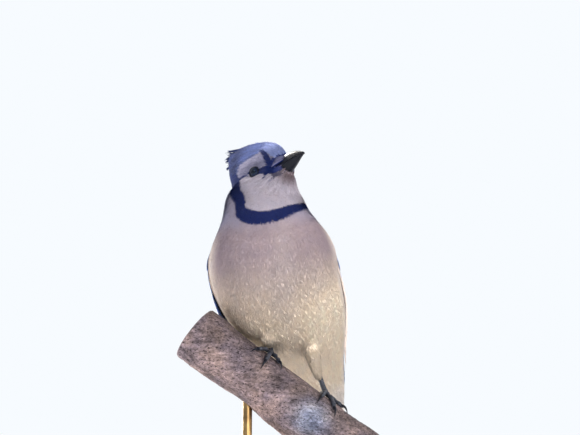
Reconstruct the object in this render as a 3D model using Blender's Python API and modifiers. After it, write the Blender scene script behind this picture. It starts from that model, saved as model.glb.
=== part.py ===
"""Blue jay on a cut length of branch, held by a plain display stand.

A life-size still model, modelled in metres, Z up. The origin is the middle of
the stand base's underside. The bird looks along -Y with its head turned to
its own left. Run with: blender --background --python part.py
"""
import math

import bmesh
import bpy
import numpy as np
from mathutils import Vector

# ---------------------------------------------------------------------------
# Driving dimensions, in millimetres, in the bird's own frame: X to the bird's
# left side (the viewer's right), Y to the rear, Z up, zero at the perch.
# ---------------------------------------------------------------------------
LIFT = 125.0                 # height of the perch axis over the floor
REAR = -8.0                  # the bird's frame starts this far in front of the base's centre
BODY_TURN = 5.0              # degrees the breast turns to the bird's left
GAP = 0.3                    # clearance between neighbouring pieces

HEAD_AT = (-13.7, -12.0, 147.4)   # midway between the eyes
HEAD_TURN, HEAD_UP, HEAD_TILT = 38.0, 16.0, 3.5   # degrees

EYE_R, EYE_X, EYE_Y = 5.0, -1.4, 9.3      # eyeball radius and its centre's distance from the mid-plane

PERCH_R = 17.5               # branch radius
PERCH_SLOPE = 36.7           # degrees, down to the bird's left
PERCH_AT = (0.0, -2.0, -3.4)
FOOT_X = {"right": -14.0, "left": 21.0}
TARSUS_R = 1.6

TAIL_ROOT = (21.0, 44.0, 20.0)
TAIL_DIR = (0.11, 0.42, -0.90)
TAIL_LEN = 128.0

# Stations of the body, from the rump end to the inside of the head:
# centre x, y, z, half width, ventral half depth, dorsal half depth
BODY = (
    (25.0, 60.0, -8.0, 12.0, 5.5, 4.5),
    (20.0, 49.0, 12.0, 18.0, 10.0, 10.0),
    (11.0, 34.0, 33.0, 27.0, 17.5, 18.5),
    (2.3, 18.0, 55.0, 36.3, 30.3, 28.5),
    (-7.9, 4.0, 77.0, 41.5, 39.0, 36.0),
    (-13.1, -6.0, 98.0, 40.7, 37.5, 36.0),
    (-15.8, -9.5, 117.0, 29.9, 28.5, 29.5),
    (-16.9, -7.8, 131.0, 25.7, 17.0, 24.0),
    (-17.5, -3.0, 149.0, 15.0, 7.0, 13.0),
)
NECK_FROM = 6.35             # station where the trunk ends and the neck begins

# Stations of the head along its own axis, from the crest's tip to the bill:
# x forward, half width, height of the widest point, top, bottom, how peaked the upper half is
HEAD = (
    (-35.5, 2.0, 33.0, 35.4, 30.0, 1.0),
    (-31.0, 7.5, 22.0, 34.6, 12.0, 1.05),
    (-26.5, 12.5, 8.0, 33.8, -8.0, 1.15),
    (-21.0, 16.0, -3.0, 33.0, -21.0, 1.25),
    (-14.5, 18.4, -8.5, 31.4, -29.5, 1.35),
    (-8.0, 19.0, -10.5, 29.2, -33.2, 1.4),
    (-1.5, 18.4, -11.5, 26.4, -33.0, 1.4),
    (5.0, 16.4, -11.5, 22.4, -29.2, 1.25),
    (10.0, 13.6, -11.0, 18.6, -25.0, 1.1),
    (14.0, 10.8, -9.8, 15.0, -20.8, 1.0),
    (18.0, 7.8, -7.2, 10.4, -16.2, 1.0),
    (21.5, 5.4, -4.6, 5.8, -12.0, 1.0),
)
# Stations of the bill: x forward, half width, ridge, cutting edge, keel
BILL = (
    (9.0, 6.8, 3.2, -5.4, -10.4),
    (13.0, 5.9, 3.8, -4.9, -10.5),
    (17.0, 5.0, 3.8, -4.5, -10.2),
    (21.0, 4.2, 3.3, -4.2, -9.6),
    (25.5, 3.3, 2.1, -4.1, -8.5),
    (30.0, 2.3, 0.2, -4.2, -7.0),
    (33.8, 1.35, -2.1, -4.7, -5.8),
    (36.6, 0.45, -4.4, -5.5, -5.3),
)


def spline(rows):
    """A smooth curve through evenly numbered rows of values, as a function of the row number."""
    y = np.asarray(rows, float)
    n = len(y)
    a = np.zeros((n, n))
    b = np.zeros_like(y)
    a[0, 0] = a[-1, -1] = 1.0
    for i in range(1, n - 1):
        a[i, i - 1 : i + 2] = (1.0, 4.0, 1.0)
        b[i] = 6.0 * (y[i + 1] - 2.0 * y[i] + y[i - 1])
    m = np.linalg.solve(a, b)

    def at(t):
        t = np.asarray(t, float)
        i = np.clip(np.floor(t).astype(int), 0, n - 2)
        f = (t - i)[..., None]
        g = 1.0 - f
        return (
            g * y[i] + f * y[i + 1]
            + ((g ** 3 - g) * m[i] + (f ** 3 - f) * m[i + 1]) / 6.0
        )

    return at


def unit(v):
    v = np.asarray(v, float)
    return v / np.maximum(np.linalg.norm(v, axis=-1, keepdims=True), 1e-12)


BODY_AT = spline(BODY)
TURN = math.radians(BODY_TURN)
BODY_LEFT = np.array((math.cos(TURN), math.sin(TURN), 0.0))


def body_axes(t):
    """Centre, half sizes, and the left, up-the-spine and belly directions at station t."""
    t = np.asarray(t, float)
    row = BODY_AT(t)
    up = unit(BODY_AT(t + 0.05)[..., :3] - BODY_AT(t - 0.05)[..., :3])
    left = unit(BODY_LEFT - (up @ BODY_LEFT)[..., None] * up)
    belly = unit(np.cross(left, up))
    return row[..., :3], row[..., 3:], left, up, belly


def body_point(t, phi, out=0.0):
    """A point of the body's surface: phi is 0 on the bird's left, 90 on its belly, 180 right, 270 back, in radians; out is how far outside."""
    c, half, left, _, belly = body_axes(t)
    cs, sn = np.cos(phi), np.sin(phi)
    wide = half[..., 0] + out
    deep = np.where(sn > 0, half[..., 1], half[..., 2]) + out
    x = wide * np.sign(cs) * np.abs(cs) ** 0.94
    y = deep * np.sign(sn) * np.abs(sn) ** 0.94
    return c + x[..., None] * left + y[..., None] * belly


def head_axes():
    h, p, r = (math.radians(v) for v in (HEAD_TURN, HEAD_UP, HEAD_TILT))
    fore = np.array((math.cos(p) * math.sin(h), -math.cos(p) * math.cos(h), math.sin(p)))
    left0 = np.array((math.cos(h), math.sin(h), 0.0))
    up0 = np.cross(fore, left0)
    left = math.cos(r) * left0 + math.sin(r) * up0
    return np.array((fore, left, np.cross(fore, left)))


HEAD_AXES = head_axes()
HEAD_ROWS = spline(HEAD)
BILL_ROWS = spline(BILL)


def from_head(p):
    """Points of the head's own frame (forward, left, up) in the bird's frame."""
    return np.asarray(HEAD_AT) + np.asarray(p, float) @ HEAD_AXES


def head_point(t, phi, out=0.0):
    """A point of the head's surface in its own frame: phi is 0 on its left, 90 on top, in radians."""
    row = HEAD_ROWS(t)
    x, wide, mid, top, low, peak = (row[..., i] for i in range(6))
    ahead = out * (2.0 * np.asarray(t, float) / (len(HEAD) - 1.0) - 1.0)
    cs, sn = np.cos(phi), np.sin(phi)
    power = np.where(sn > 0, peak, 0.92)
    y = (wide + out) * np.sign(cs) * np.abs(cs) ** power
    z = mid + np.where(sn > 0, top - mid + out, mid - low + out) * np.sign(sn) * np.abs(sn) ** power
    eye = 4.6 * np.exp(-(((x + 0.4) / 8.0) ** 2) - ((z + 1.5) / 6.0) ** 2)
    lore = 2.6 * np.exp(-(((x - 14.5) / 5.0) ** 2) - ((z + 4.0) / 4.0) ** 2)
    return np.stack([x + ahead + 0 * y, y - np.clip(y / 8.0, -1.0, 1.0) * (eye + lore), z], -1)


def perch_axes():
    s = math.radians(PERCH_SLOPE)
    along = np.array((math.cos(s), 0.0, -math.sin(s)))
    up = np.array((math.sin(s), 0.0, math.cos(s)))
    return along, np.array((0.0, -1.0, 0.0)), up


def perch_point(along, angle, radius):
    """A point round the branch: distance along it, angle in radians from its top to the front, distance from its axis."""
    a, front, up = perch_axes()
    return (
        np.asarray(PERCH_AT)
        + np.multiply.outer(along, a)
        + np.multiply.outer(np.multiply(radius, np.cos(angle)), up)
        + np.multiply.outer(np.multiply(radius, np.sin(angle)), front)
    )

# Folded wing: station, back edge and lower edge round the body in degrees, thickness
WING = (
    (6.2, -60.0, -42.0, 1.2),
    (5.8, -72.0, -28.0, 3.0),
    (5.1, -80.0, -16.0, 4.4),
    (4.2, -84.0, -4.0, 5.0),
    (3.3, -84.0, 3.0, 5.0),
    (2.4, -84.0, 2.0, 4.4),
    (1.6, -82.0, -6.0, 3.8),
    (0.8, -76.0, -14.0, 3.0),
    (0.1, -66.0, -22.0, 2.4),
    (-0.45, -54.0, -34.0, 1.4),
)
# Degrees that each wing's lower edge sits higher or lower on the side, row by row
WING_LOW = {
    "right": (-6.0, -8.0, -8.0, -8.0, 4.0, 4.0, 0.0, 0.0, 0.0, 0.0),
    "left": (-14.0, -14.0, -14.0, -15.0, -16.0, -18.0, -18.0, -16.0, -14.0, -14.0),
}
# Tail: share of its length, half width, thickness, arch
TAIL = (
    (0.0, 9.0, 5.0, 2.0),
    (0.2, 12.5, 4.2, 2.6),
    (0.5, 17.0, 3.2, 3.0),
    (0.8, 20.5, 2.4, 2.6),
    (0.9, 20.0, 2.0, 2.2),
    (0.96, 16.5, 1.6, 1.8),
    (1.0, 8.0, 1.1, 1.2),
)
# Toes: name, spread in degrees from straight forward, length along the branch, base radius
TOES = (
    ("middle", 0.0, 21.0, 1.55),
    ("inner", -32.0, 16.0, 1.45),
    ("outer", 30.0, 16.5, 1.4),
    ("hind", 178.0, 13.0, 1.7),
)
FOOT_SWING = {"right": 8.0, "left": 34.0}    # degrees the toes turn down the slope
CLAW = 6.0
BASE_R, BASE_H = 75.0, 16.0
ROD_R = 3.0
ROD_X = (-27.0, 27.0)
PERCH_FROM, PERCH_TO = -78.0, 74.0

COLOURS = {
    "plumage_blue": ((0.16, 0.22, 0.46), 0.7),
    "plumage_pale": ((0.62, 0.57, 0.56), 0.8),
    "bill": ((0.03, 0.03, 0.035), 0.35),
    "eye": ((0.02, 0.012, 0.01), 0.08),
    "leg": ((0.04, 0.04, 0.045), 0.5),
    "bark": ((0.23, 0.18, 0.16), 0.85),
    "stand_wood": ((0.12, 0.07, 0.045), 0.45),
    "stand_metal": ((0.5, 0.42, 0.28), 0.3),
}


def world(p):
    """Bird-frame millimetres to metres on the stand."""
    return (np.asarray(p, float) + (0.0, REAR, LIFT)) / 1000.0


def material(name):
    colour, rough = COLOURS[name]
    m = bpy.data.materials.new(name)
    m.use_nodes = True
    shader = m.node_tree.nodes["Principled BSDF"]
    shader.inputs["Base Color"].default_value = (*colour, 1.0)
    shader.inputs["Roughness"].default_value = rough
    shader.inputs["Metallic"].default_value = 1.0 if name == "stand_metal" else 0.0
    m.diffuse_color = (*colour, 1.0)
    return m


def add(name, mesh, paint=None):
    """A named object for a part, or a hidden cutter when it has no paint."""
    obj = bpy.data.objects.new(name, mesh)
    (PARTS if paint else CUTTERS).objects.link(obj)
    if paint:
        mesh.materials.append(PAINTS[paint])
        mesh.shade_smooth()
        mesh.set_sharp_from_angle(angle=math.radians(50))
    else:
        obj.hide_render = True
        obj.display_type = "WIRE"
    return obj


def loft(name, rings, paint=None):
    """A closed skin over rings of equal numbers of points, with a fan over each end."""
    bm = bmesh.new()
    rows = [[bm.verts.new(p) for p in world(ring)] for ring in rings]
    n = len(rows[0])
    for a, b in zip(rows, rows[1:]):
        for i in range(n):
            j = (i + 1) % n
            bm.faces.new((a[i], a[j], b[j], b[i]))
    for row in (rows[0], rows[-1]):
        hub = bm.verts.new(sum((v.co for v in row), Vector()) / n)
        for i in range(n):
            bm.faces.new((row[i], row[(i + 1) % n], hub))
    bmesh.ops.recalc_face_normals(bm, faces=bm.faces)
    mesh = bpy.data.meshes.new(name)
    bm.to_mesh(mesh)
    bm.free()
    return add(name, mesh, paint)


def cut(obj, *others):
    for other in others:
        m = obj.modifiers.new("Cut_" + other.name, "BOOLEAN")
        m.operation, m.solver, m.object = "DIFFERENCE", "EXACT", other


def join(obj, *others):
    for other in others:
        m = obj.modifiers.new("Join_" + other.name, "BOOLEAN")
        m.operation, m.solver, m.object = "UNION", "EXACT", other


def ball(name, centre, radius, paint=None, segments=14, rings=9):
    bm = bmesh.new()
    bmesh.ops.create_uvsphere(bm, u_segments=segments, v_segments=rings, radius=radius / 1000.0)
    bmesh.ops.translate(bm, verts=bm.verts, vec=Vector(world(centre)))
    mesh = bpy.data.meshes.new(name)
    bm.to_mesh(mesh)
    bm.free()
    return add(name, mesh, paint)


def upright(name, x, y, low, high, radius, paint=None, segments=24):
    """A vertical cylinder in world millimetres."""
    bm = bmesh.new()
    bmesh.ops.create_cone(
        bm, cap_ends=True, segments=segments,
        radius1=radius / 1000.0, radius2=radius / 1000.0, depth=(high - low) / 1000.0,
    )
    bmesh.ops.translate(bm, verts=bm.verts, vec=Vector((x, y, (low + high) / 2.0)) / 1000.0)
    mesh = bpy.data.meshes.new(name)
    bm.to_mesh(mesh)
    bm.free()
    return add(name, mesh, paint)


def tube(name, points, radii, paint=None, resolution=2):
    """A round rod along points, made as a bevelled curve and turned into a closed mesh."""
    curve = bpy.data.curves.new(name, "CURVE")
    curve.dimensions = "3D"
    curve.bevel_depth = 0.001
    curve.bevel_resolution = resolution
    curve.use_fill_caps = True
    line = curve.splines.new("POLY")
    line.points.add(len(points) - 1)
    for point, p, r in zip(line.points, world(points), radii):
        point.co = (*p, 1.0)
        point.radius = r
    guide = bpy.data.objects.new(name + "_guide", curve)
    CUTTERS.objects.link(guide)
    bpy.context.view_layer.update()
    mesh = bpy.data.meshes.new_from_object(guide.evaluated_get(bpy.context.evaluated_depsgraph_get()))
    mesh.name = name
    bm = bmesh.new()
    bm.from_mesh(mesh)
    bmesh.ops.remove_doubles(bm, verts=bm.verts, dist=1e-6)
    bmesh.ops.recalc_face_normals(bm, faces=bm.faces)
    bm.to_mesh(mesh)
    bm.free()
    bpy.data.objects.remove(guide)
    return add(name, mesh, paint)


def body_rings(first, last, steps, around, out):
    angles = np.linspace(0.0, 2.0 * math.pi, around, endpoint=False)
    return [body_point(np.full(around, t), angles, out) for t in np.linspace(first, last, steps)]


def head_rings(out, steps=18, around=22):
    angles = np.linspace(0.0, 2.0 * math.pi, around, endpoint=False)
    last = len(HEAD) - 1.0
    return [from_head(head_point(np.full(around, t), angles, out)) for t in np.linspace(0.0, last, steps)]


def bill_rings(lower, out, steps=12, around=9):
    rings = []
    for t in np.linspace(0.0, len(BILL) - 1.0, steps):
        x, wide, ridge, edge, keel = BILL_ROWS(t)
        a = np.linspace(0.0, math.pi, around)
        if lower:
            depth = max(edge - GAP - keel, 0.25)
            y, z = wide * 0.93 * np.cos(a), edge - GAP - depth * np.sin(a) ** 0.8
            z = z + out * np.where(np.sin(a) > 1e-6, -1.0, 1.0)
        else:
            y, z = wide * np.cos(a), edge + (ridge - edge) * np.sin(a) ** 0.85
            z = z + out * np.where(np.sin(a) > 1e-6, 1.0, -1.0)
        y = y + out * np.sign(np.cos(a)) * (np.abs(np.cos(a)) > 1e-6)
        rings.append(from_head(np.stack([np.full(around, x), y, z], -1)))
    return rings


def whole_bill_rings(out, steps=15, around=18):
    rings = []
    for t in np.linspace(-0.3, len(BILL) - 1.0, steps):
        x, wide, ridge, edge, keel = BILL_ROWS(t)
        a = np.linspace(0.0, 2.0 * math.pi, around, endpoint=False)
        sn = np.sin(a)
        z = edge + np.where(sn > 0, (ridge - edge) + out, (edge - keel) + out) * np.sign(sn) * np.abs(sn) ** 0.8
        rings.append(from_head(np.stack([np.full(around, x), (wide + out) * np.cos(a), z], -1)))
    return rings


def wing_rings(side, out_shift=0.0, steps=16, across=8):
    """Flat closed sections of a folded wing that follow the body's side; the inner face lies under the coat."""
    at = spline(WING)
    rings = []
    for u in np.linspace(0.0, len(WING) - 1.0, steps):
        t, back, low, thick = at(u)
        low += np.interp(u, range(len(WING)), WING_LOW["left" if side > 0 else "right"])
        share = np.linspace(0.0, 1.0, across)
        angle = np.radians(back + (low - back) * share)
        if side < 0:
            angle = math.pi - angle
        crown = thick * (0.35 + 0.65 * np.sin(math.pi * share) ** 0.6)
        inner = np.full(across, -1.6 if t > 0.4 else -0.2)
        top = body_point(np.full(across, t), angle, crown + out_shift)
        under = body_point(np.full(across, t), angle, inner)
        rings.append(np.concatenate([top, under[::-1]]))
    return rings


def tail_axes():
    down = unit(TAIL_DIR)
    left = unit(BODY_LEFT - (down @ BODY_LEFT) * down)
    return down, left, np.cross(left, down)      # along, left, towards the back


def tail_point(share, across, out):
    """share along the tail, across from -1 to 1 of its half width, out towards the back."""
    s, wide, thick, arch = TAIL_AT(share)
    down, left, back = tail_axes()
    return (
        np.asarray(TAIL_ROOT)
        + s * TAIL_LEN * down
        + wide * across * left
        + (arch * (1.0 - across * across) + out * thick * 0.5 * (1.0 - 0.45 * across * across)) * back
    )


def tail_rings(grow=0.0, steps=14, across=7, first=0.0):
    rings = []
    for share in np.linspace(first, len(TAIL) - 1.0, steps):
        _, wide, thick, _ = TAIL_AT(share)
        k = 1.0 + grow / wide
        g = 1.0 + 2.0 * grow / thick
        line = np.linspace(-1.0, 1.0, across)
        top = [tail_point(share, a * k, g) for a in line]
        under = [tail_point(share, a * k, -g) for a in line[::-1]]
        rings.append(np.array(top + under))
    return rings


def foot(side):
    """Tarsus, four toes and their claws, gripping the branch, joined into one body."""
    x = FOOT_X[side]
    along, front, up = perch_axes()
    # distance along the branch whose top lies at that x
    s0 = (x - PERCH_AT[0] - PERCH_R * up[0]) / along[0]
    swing = FOOT_SWING[side] * (1.0 if side == "left" else 1.0)
    back_shift = math.radians(-6.0)
    hub = perch_point(s0, back_shift, PERCH_R + 2.5)
    tops = {"right": (-12.0, 4.0, 43.0), "left": (16.0, 4.0, 24.0)}
    top = np.array(tops[side])
    shin = [hub + (top - hub) * f for f in np.linspace(0.0, 1.0, 4)]
    main = tube("foot_" + side, shin, [1.75, 1.5, 1.5, 1.7], "leg")
    pieces = [ball("hub_" + side, hub, 2.3, segments=10, rings=6)]
    for name, spread, length, radius in TOES:
        turn = spread if side == "left" else -spread
        direction = math.radians(turn + (swing if name != "hind" else swing * 0.6))
        points, radii = [], []
        total = length + CLAW
        for f in np.linspace(0.0, 1.0, 8):
            d = total * f
            ahead, aside = d * math.cos(direction), d * math.sin(direction)
            angle = back_shift + ahead / (PERCH_R + 1.6)
            claw = max(0.0, (d - length) / CLAW)
            r = radius * (1.0 - 0.22 * min(1.0, d / length))
            r = r if claw == 0.0 else max(0.3, r * (1.0 - claw) ** 0.8 * 0.8)
            lift = r + GAP + 0.15 + (0.7 * math.sin(math.pi * min(1.0, claw)) if claw else 0.0)
            if f == 0.0:
                lift = 2.3
            points.append(perch_point(s0 + aside, angle, PERCH_R + lift))
            radii.append(r)
        pieces.append(tube("toe_" + name + "_" + side, np.array(points), radii, resolution=1))
    join(main, *pieces)
    return main


def thigh(side):
    paths = {
        "left": ((11.0, 12.0, 44.0), (14.0, 4.5, 32.0), (16.5, 1.5, 21.5), (18.6, 0.0, 13.0)),
        "right": ((-8.5, 3.0, 52.0), (-11.5, -3.2, 43.0), (-13.2, -4.2, 38.0), (-14.0, -2.6, 34.6)),
    }
    wide = {"left": (13.0, 10.5, 6.4, 2.8), "right": (14.0, 12.5, 8.6, 4.0)}[side]
    at = spline([(*p, w) for p, w in zip(paths[side], wide)])
    rings = []
    for u in np.linspace(0.0, 3.0, 9):
        row = at(u)
        d = unit(at(u + 0.05)[:3] - at(u - 0.05)[:3])
        a = unit(np.cross(d, (0.0, 1.0, 0.0)))
        b = np.cross(d, a)
        angles = np.linspace(0.0, 2.0 * math.pi, 16, endpoint=False)
        rings.append(row[:3] + row[3] * (np.cos(angles)[:, None] * a + np.sin(angles)[:, None] * b))
    return rings


def perch_rings(out=0.0, steps=18, around=20):
    """The branch: round where the feet grip, a little swollen and bent elsewhere."""
    rings = []
    angles = np.linspace(0.0, 2.0 * math.pi, around, endpoint=False)
    for s in np.linspace(PERCH_FROM, PERCH_TO, steps):
        far = min(1.0, max(0.0, (abs(s + 2.0) - 34.0) / 30.0))
        swell = far * (0.6 + 0.7 * np.sin(2.0 * angles + 0.05 * s) + 0.5 * np.sin(3.0 * angles - 0.11 * s))
        under = 0.8 * np.maximum(0.0, -np.cos(angles)) * np.sin(0.09 * s + 1.0)
        knot = 5.0 * np.exp(-(((s - 17.0) / 11.0) ** 2) - ((angles - math.radians(96.0)) / 0.6) ** 2)
        rings.append(perch_point(np.full(around, s), angles, PERCH_R + swell + under + knot + out))
    return rings


for old in list(bpy.data.objects):
    bpy.data.objects.remove(old)
PARTS = bpy.data.collections.new("blue_jay")
CUTTERS = bpy.data.collections.new("cutters")
for c in (PARTS, CUTTERS):
    bpy.context.scene.collection.children.link(c)
PAINTS = {name: material(name) for name in COLOURS}
TAIL_AT = spline(TAIL)

# Head, bill and eyes
head = loft("head", head_rings(0.0), "plumage_blue")
head_room = loft("head_room", head_rings(GAP + 0.25))
bill_room = loft("bill_room", whole_bill_rings(GAP))
cut(head, bill_room)
loft("bill_upper", bill_rings(False, 0.0), "bill")
loft("bill_lower", bill_rings(True, 0.0), "bill")
for side, sign in (("left", 1.0), ("right", -1.0)):
    centre = from_head((EYE_X, sign * EYE_Y, 0.0))
    ball("eye_" + side, centre, EYE_R, "eye")
    cut(head, ball("socket_" + side, centre, EYE_R + GAP))

# Neck and trunk share one smooth body, parted by a thin cut
neck = loft("neck", body_rings(NECK_FROM, 7.35, 5, 26, 0.0), "plumage_pale")
cut(neck, head_room)
trunk = loft("trunk", body_rings(0.0, NECK_FROM - 0.02, 20, 26, 0.0), "plumage_pale")
trunk_room = loft("trunk_room", body_rings(-0.05, NECK_FROM + 0.05, 20, 26, GAP))
cut(trunk, head_room)

# Tail
tail = loft("tail", tail_rings(), "plumage_blue")
tail_room = loft("tail_room", tail_rings(GAP + 0.05, first=-0.12))
cut(trunk, tail_room)

# Wings
for side, sign in (("left", 1), ("right", -1)):
    wing = loft("wing_" + side, wing_rings(sign), "plumage_blue")
    cut(wing, trunk_room, tail_room)

# Branch
perch = loft("perch", perch_rings(), "bark")
perch_room = loft("perch_room", perch_rings(GAP))
# Legs and feet
for side in ("left", "right"):
    leg = loft("leg_" + side, thigh(side), "plumage_pale")
    cut(leg, trunk_room)
    paw = foot(side)
    cut(paw, trunk_room)
    room = loft("leg_room_" + side, thigh(side))
    grow = room.modifiers.new("Grow", "DISPLACE")
    grow.strength, grow.mid_level = GAP / 1000.0, 0.0
    cut(paw, room, perch_room)

# Stand
base = upright("stand_base", 0.0, 0.0, 0.0, BASE_H, BASE_R, "stand_wood", segments=40)
edge = base.modifiers.new("Edge", "BEVEL")
edge.width, edge.segments, edge.limit_method = 0.003, 2, "ANGLE"
axis, _, _ = perch_axes()
for n, x in enumerate(ROD_X):
    y = PERCH_AT[1] + REAR
    under = LIFT + PERCH_AT[2] - (x - PERCH_AT[0]) * math.tan(math.radians(PERCH_SLOPE)) - PERCH_R / math.cos(math.radians(PERCH_SLOPE))
    top = under + 8.0
    upright("stand_rod_%d" % (n + 1), x, y, BASE_H - 8.0, top, ROD_R, "stand_metal", segments=16)
    hole = upright("rod_room_%d" % (n + 1), x, y, BASE_H - 8.0 - GAP, top + GAP, ROD_R + GAP, segments=16)
    cut(perch, hole)
    cut(base, hole)
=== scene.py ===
"""Looks of the perched blue jay: skin, coat of feathers, wings, tail, bill, eyes, feet, branch and stand.

Shapes are worked out in millimetres in the bird's own frame, the one the solids use, and written in metres on the stand.
"""
import math

import bpy
import numpy as np
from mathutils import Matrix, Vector, noise
from mathutils.bvhtree import BVHTree
from mathutils.kdtree import KDTree

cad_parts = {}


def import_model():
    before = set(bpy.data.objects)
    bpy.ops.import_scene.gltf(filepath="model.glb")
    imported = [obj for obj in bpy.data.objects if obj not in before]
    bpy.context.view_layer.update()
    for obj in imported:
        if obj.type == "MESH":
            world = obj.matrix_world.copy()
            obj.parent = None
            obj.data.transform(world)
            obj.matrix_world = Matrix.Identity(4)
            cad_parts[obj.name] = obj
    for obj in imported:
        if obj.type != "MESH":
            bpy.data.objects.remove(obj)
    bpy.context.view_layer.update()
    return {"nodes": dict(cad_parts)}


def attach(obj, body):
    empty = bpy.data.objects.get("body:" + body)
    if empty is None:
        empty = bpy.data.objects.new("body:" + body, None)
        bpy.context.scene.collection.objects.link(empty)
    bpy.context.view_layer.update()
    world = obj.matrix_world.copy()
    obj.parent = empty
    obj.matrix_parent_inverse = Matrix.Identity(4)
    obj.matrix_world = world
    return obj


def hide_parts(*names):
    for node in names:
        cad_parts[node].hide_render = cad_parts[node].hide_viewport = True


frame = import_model()
NODES = frame["nodes"]
RNG = np.random.default_rng(11)

# ---------------------------------------------------------------- shapes shared with the solids
# ---------------------------------------------------------------------------
# Driving dimensions, in millimetres, in the bird's own frame: X to the bird's
# left side (the viewer's right), Y to the rear, Z up, zero at the perch.
# ---------------------------------------------------------------------------
LIFT = 125.0                 # height of the perch axis over the floor
REAR = -8.0                  # the bird's frame starts this far in front of the base's centre
BODY_TURN = 5.0              # degrees the breast turns to the bird's left
GAP = 0.3                    # clearance between neighbouring pieces

HEAD_AT = (-13.7, -12.0, 147.4)   # midway between the eyes
HEAD_TURN, HEAD_UP, HEAD_TILT = 38.0, 16.0, 3.5   # degrees

EYE_R, EYE_X, EYE_Y = 5.0, -1.4, 9.3      # eyeball radius and its centre's distance from the mid-plane

PERCH_R = 17.5               # branch radius
PERCH_SLOPE = 36.7           # degrees, down to the bird's left
PERCH_AT = (0.0, -2.0, -3.4)
FOOT_X = {"right": -14.0, "left": 21.0}
TARSUS_R = 1.6

TAIL_ROOT = (21.0, 44.0, 20.0)
TAIL_DIR = (0.11, 0.42, -0.90)
TAIL_LEN = 128.0

# Stations of the body, from the rump end to the inside of the head:
# centre x, y, z, half width, ventral half depth, dorsal half depth
BODY = (
    (25.0, 60.0, -8.0, 12.0, 5.5, 4.5),
    (20.0, 49.0, 12.0, 18.0, 10.0, 10.0),
    (11.0, 34.0, 33.0, 27.0, 17.5, 18.5),
    (2.3, 18.0, 55.0, 36.3, 30.3, 28.5),
    (-7.9, 4.0, 77.0, 41.5, 39.0, 36.0),
    (-13.1, -6.0, 98.0, 40.7, 37.5, 36.0),
    (-15.8, -9.5, 117.0, 29.9, 28.5, 29.5),
    (-16.9, -7.8, 131.0, 25.7, 17.0, 24.0),
    (-17.5, -3.0, 149.0, 15.0, 7.0, 13.0),
)
NECK_FROM = 6.35             # station where the trunk ends and the neck begins

# Stations of the head along its own axis, from the crest's tip to the bill:
# x forward, half width, height of the widest point, top, bottom, how peaked the upper half is
HEAD = (
    (-35.5, 2.0, 33.0, 35.4, 30.0, 1.0),
    (-31.0, 7.5, 22.0, 34.6, 12.0, 1.05),
    (-26.5, 12.5, 8.0, 33.8, -8.0, 1.15),
    (-21.0, 16.0, -3.0, 33.0, -21.0, 1.25),
    (-14.5, 18.4, -8.5, 31.4, -29.5, 1.35),
    (-8.0, 19.0, -10.5, 29.2, -33.2, 1.4),
    (-1.5, 18.4, -11.5, 26.4, -33.0, 1.4),
    (5.0, 16.4, -11.5, 22.4, -29.2, 1.25),
    (10.0, 13.6, -11.0, 18.6, -25.0, 1.1),
    (14.0, 10.8, -9.8, 15.0, -20.8, 1.0),
    (18.0, 7.8, -7.2, 10.4, -16.2, 1.0),
    (21.5, 5.4, -4.6, 5.8, -12.0, 1.0),
)
# Stations of the bill: x forward, half width, ridge, cutting edge, keel
BILL = (
    (9.0, 6.8, 3.2, -5.4, -10.4),
    (13.0, 5.9, 3.8, -4.9, -10.5),
    (17.0, 5.0, 3.8, -4.5, -10.2),
    (21.0, 4.2, 3.3, -4.2, -9.6),
    (25.5, 3.3, 2.1, -4.1, -8.5),
    (30.0, 2.3, 0.2, -4.2, -7.0),
    (33.8, 1.35, -2.1, -4.7, -5.8),
    (36.6, 0.45, -4.4, -5.5, -5.3),
)


def spline(rows):
    """A smooth curve through evenly numbered rows of values, as a function of the row number."""
    y = np.asarray(rows, float)
    n = len(y)
    a = np.zeros((n, n))
    b = np.zeros_like(y)
    a[0, 0] = a[-1, -1] = 1.0
    for i in range(1, n - 1):
        a[i, i - 1 : i + 2] = (1.0, 4.0, 1.0)
        b[i] = 6.0 * (y[i + 1] - 2.0 * y[i] + y[i - 1])
    m = np.linalg.solve(a, b)

    def at(t):
        t = np.asarray(t, float)
        i = np.clip(np.floor(t).astype(int), 0, n - 2)
        f = (t - i)[..., None]
        g = 1.0 - f
        return (
            g * y[i] + f * y[i + 1]
            + ((g ** 3 - g) * m[i] + (f ** 3 - f) * m[i + 1]) / 6.0
        )

    return at


def unit(v):
    v = np.asarray(v, float)
    return v / np.maximum(np.linalg.norm(v, axis=-1, keepdims=True), 1e-12)


BODY_AT = spline(BODY)
TURN = math.radians(BODY_TURN)
BODY_LEFT = np.array((math.cos(TURN), math.sin(TURN), 0.0))


def body_axes(t):
    """Centre, half sizes, and the left, up-the-spine and belly directions at station t."""
    t = np.asarray(t, float)
    row = BODY_AT(t)
    up = unit(BODY_AT(t + 0.05)[..., :3] - BODY_AT(t - 0.05)[..., :3])
    left = unit(BODY_LEFT - (up @ BODY_LEFT)[..., None] * up)
    belly = unit(np.cross(left, up))
    return row[..., :3], row[..., 3:], left, up, belly


def body_point(t, phi, out=0.0):
    """A point of the body's surface: phi is 0 on the bird's left, 90 on its belly, 180 right, 270 back, in radians; out is how far outside."""
    c, half, left, _, belly = body_axes(t)
    cs, sn = np.cos(phi), np.sin(phi)
    wide = half[..., 0] + out
    deep = np.where(sn > 0, half[..., 1], half[..., 2]) + out
    x = wide * np.sign(cs) * np.abs(cs) ** 0.94
    y = deep * np.sign(sn) * np.abs(sn) ** 0.94
    return c + x[..., None] * left + y[..., None] * belly


def head_axes():
    h, p, r = (math.radians(v) for v in (HEAD_TURN, HEAD_UP, HEAD_TILT))
    fore = np.array((math.cos(p) * math.sin(h), -math.cos(p) * math.cos(h), math.sin(p)))
    left0 = np.array((math.cos(h), math.sin(h), 0.0))
    up0 = np.cross(fore, left0)
    left = math.cos(r) * left0 + math.sin(r) * up0
    return np.array((fore, left, np.cross(fore, left)))


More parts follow.
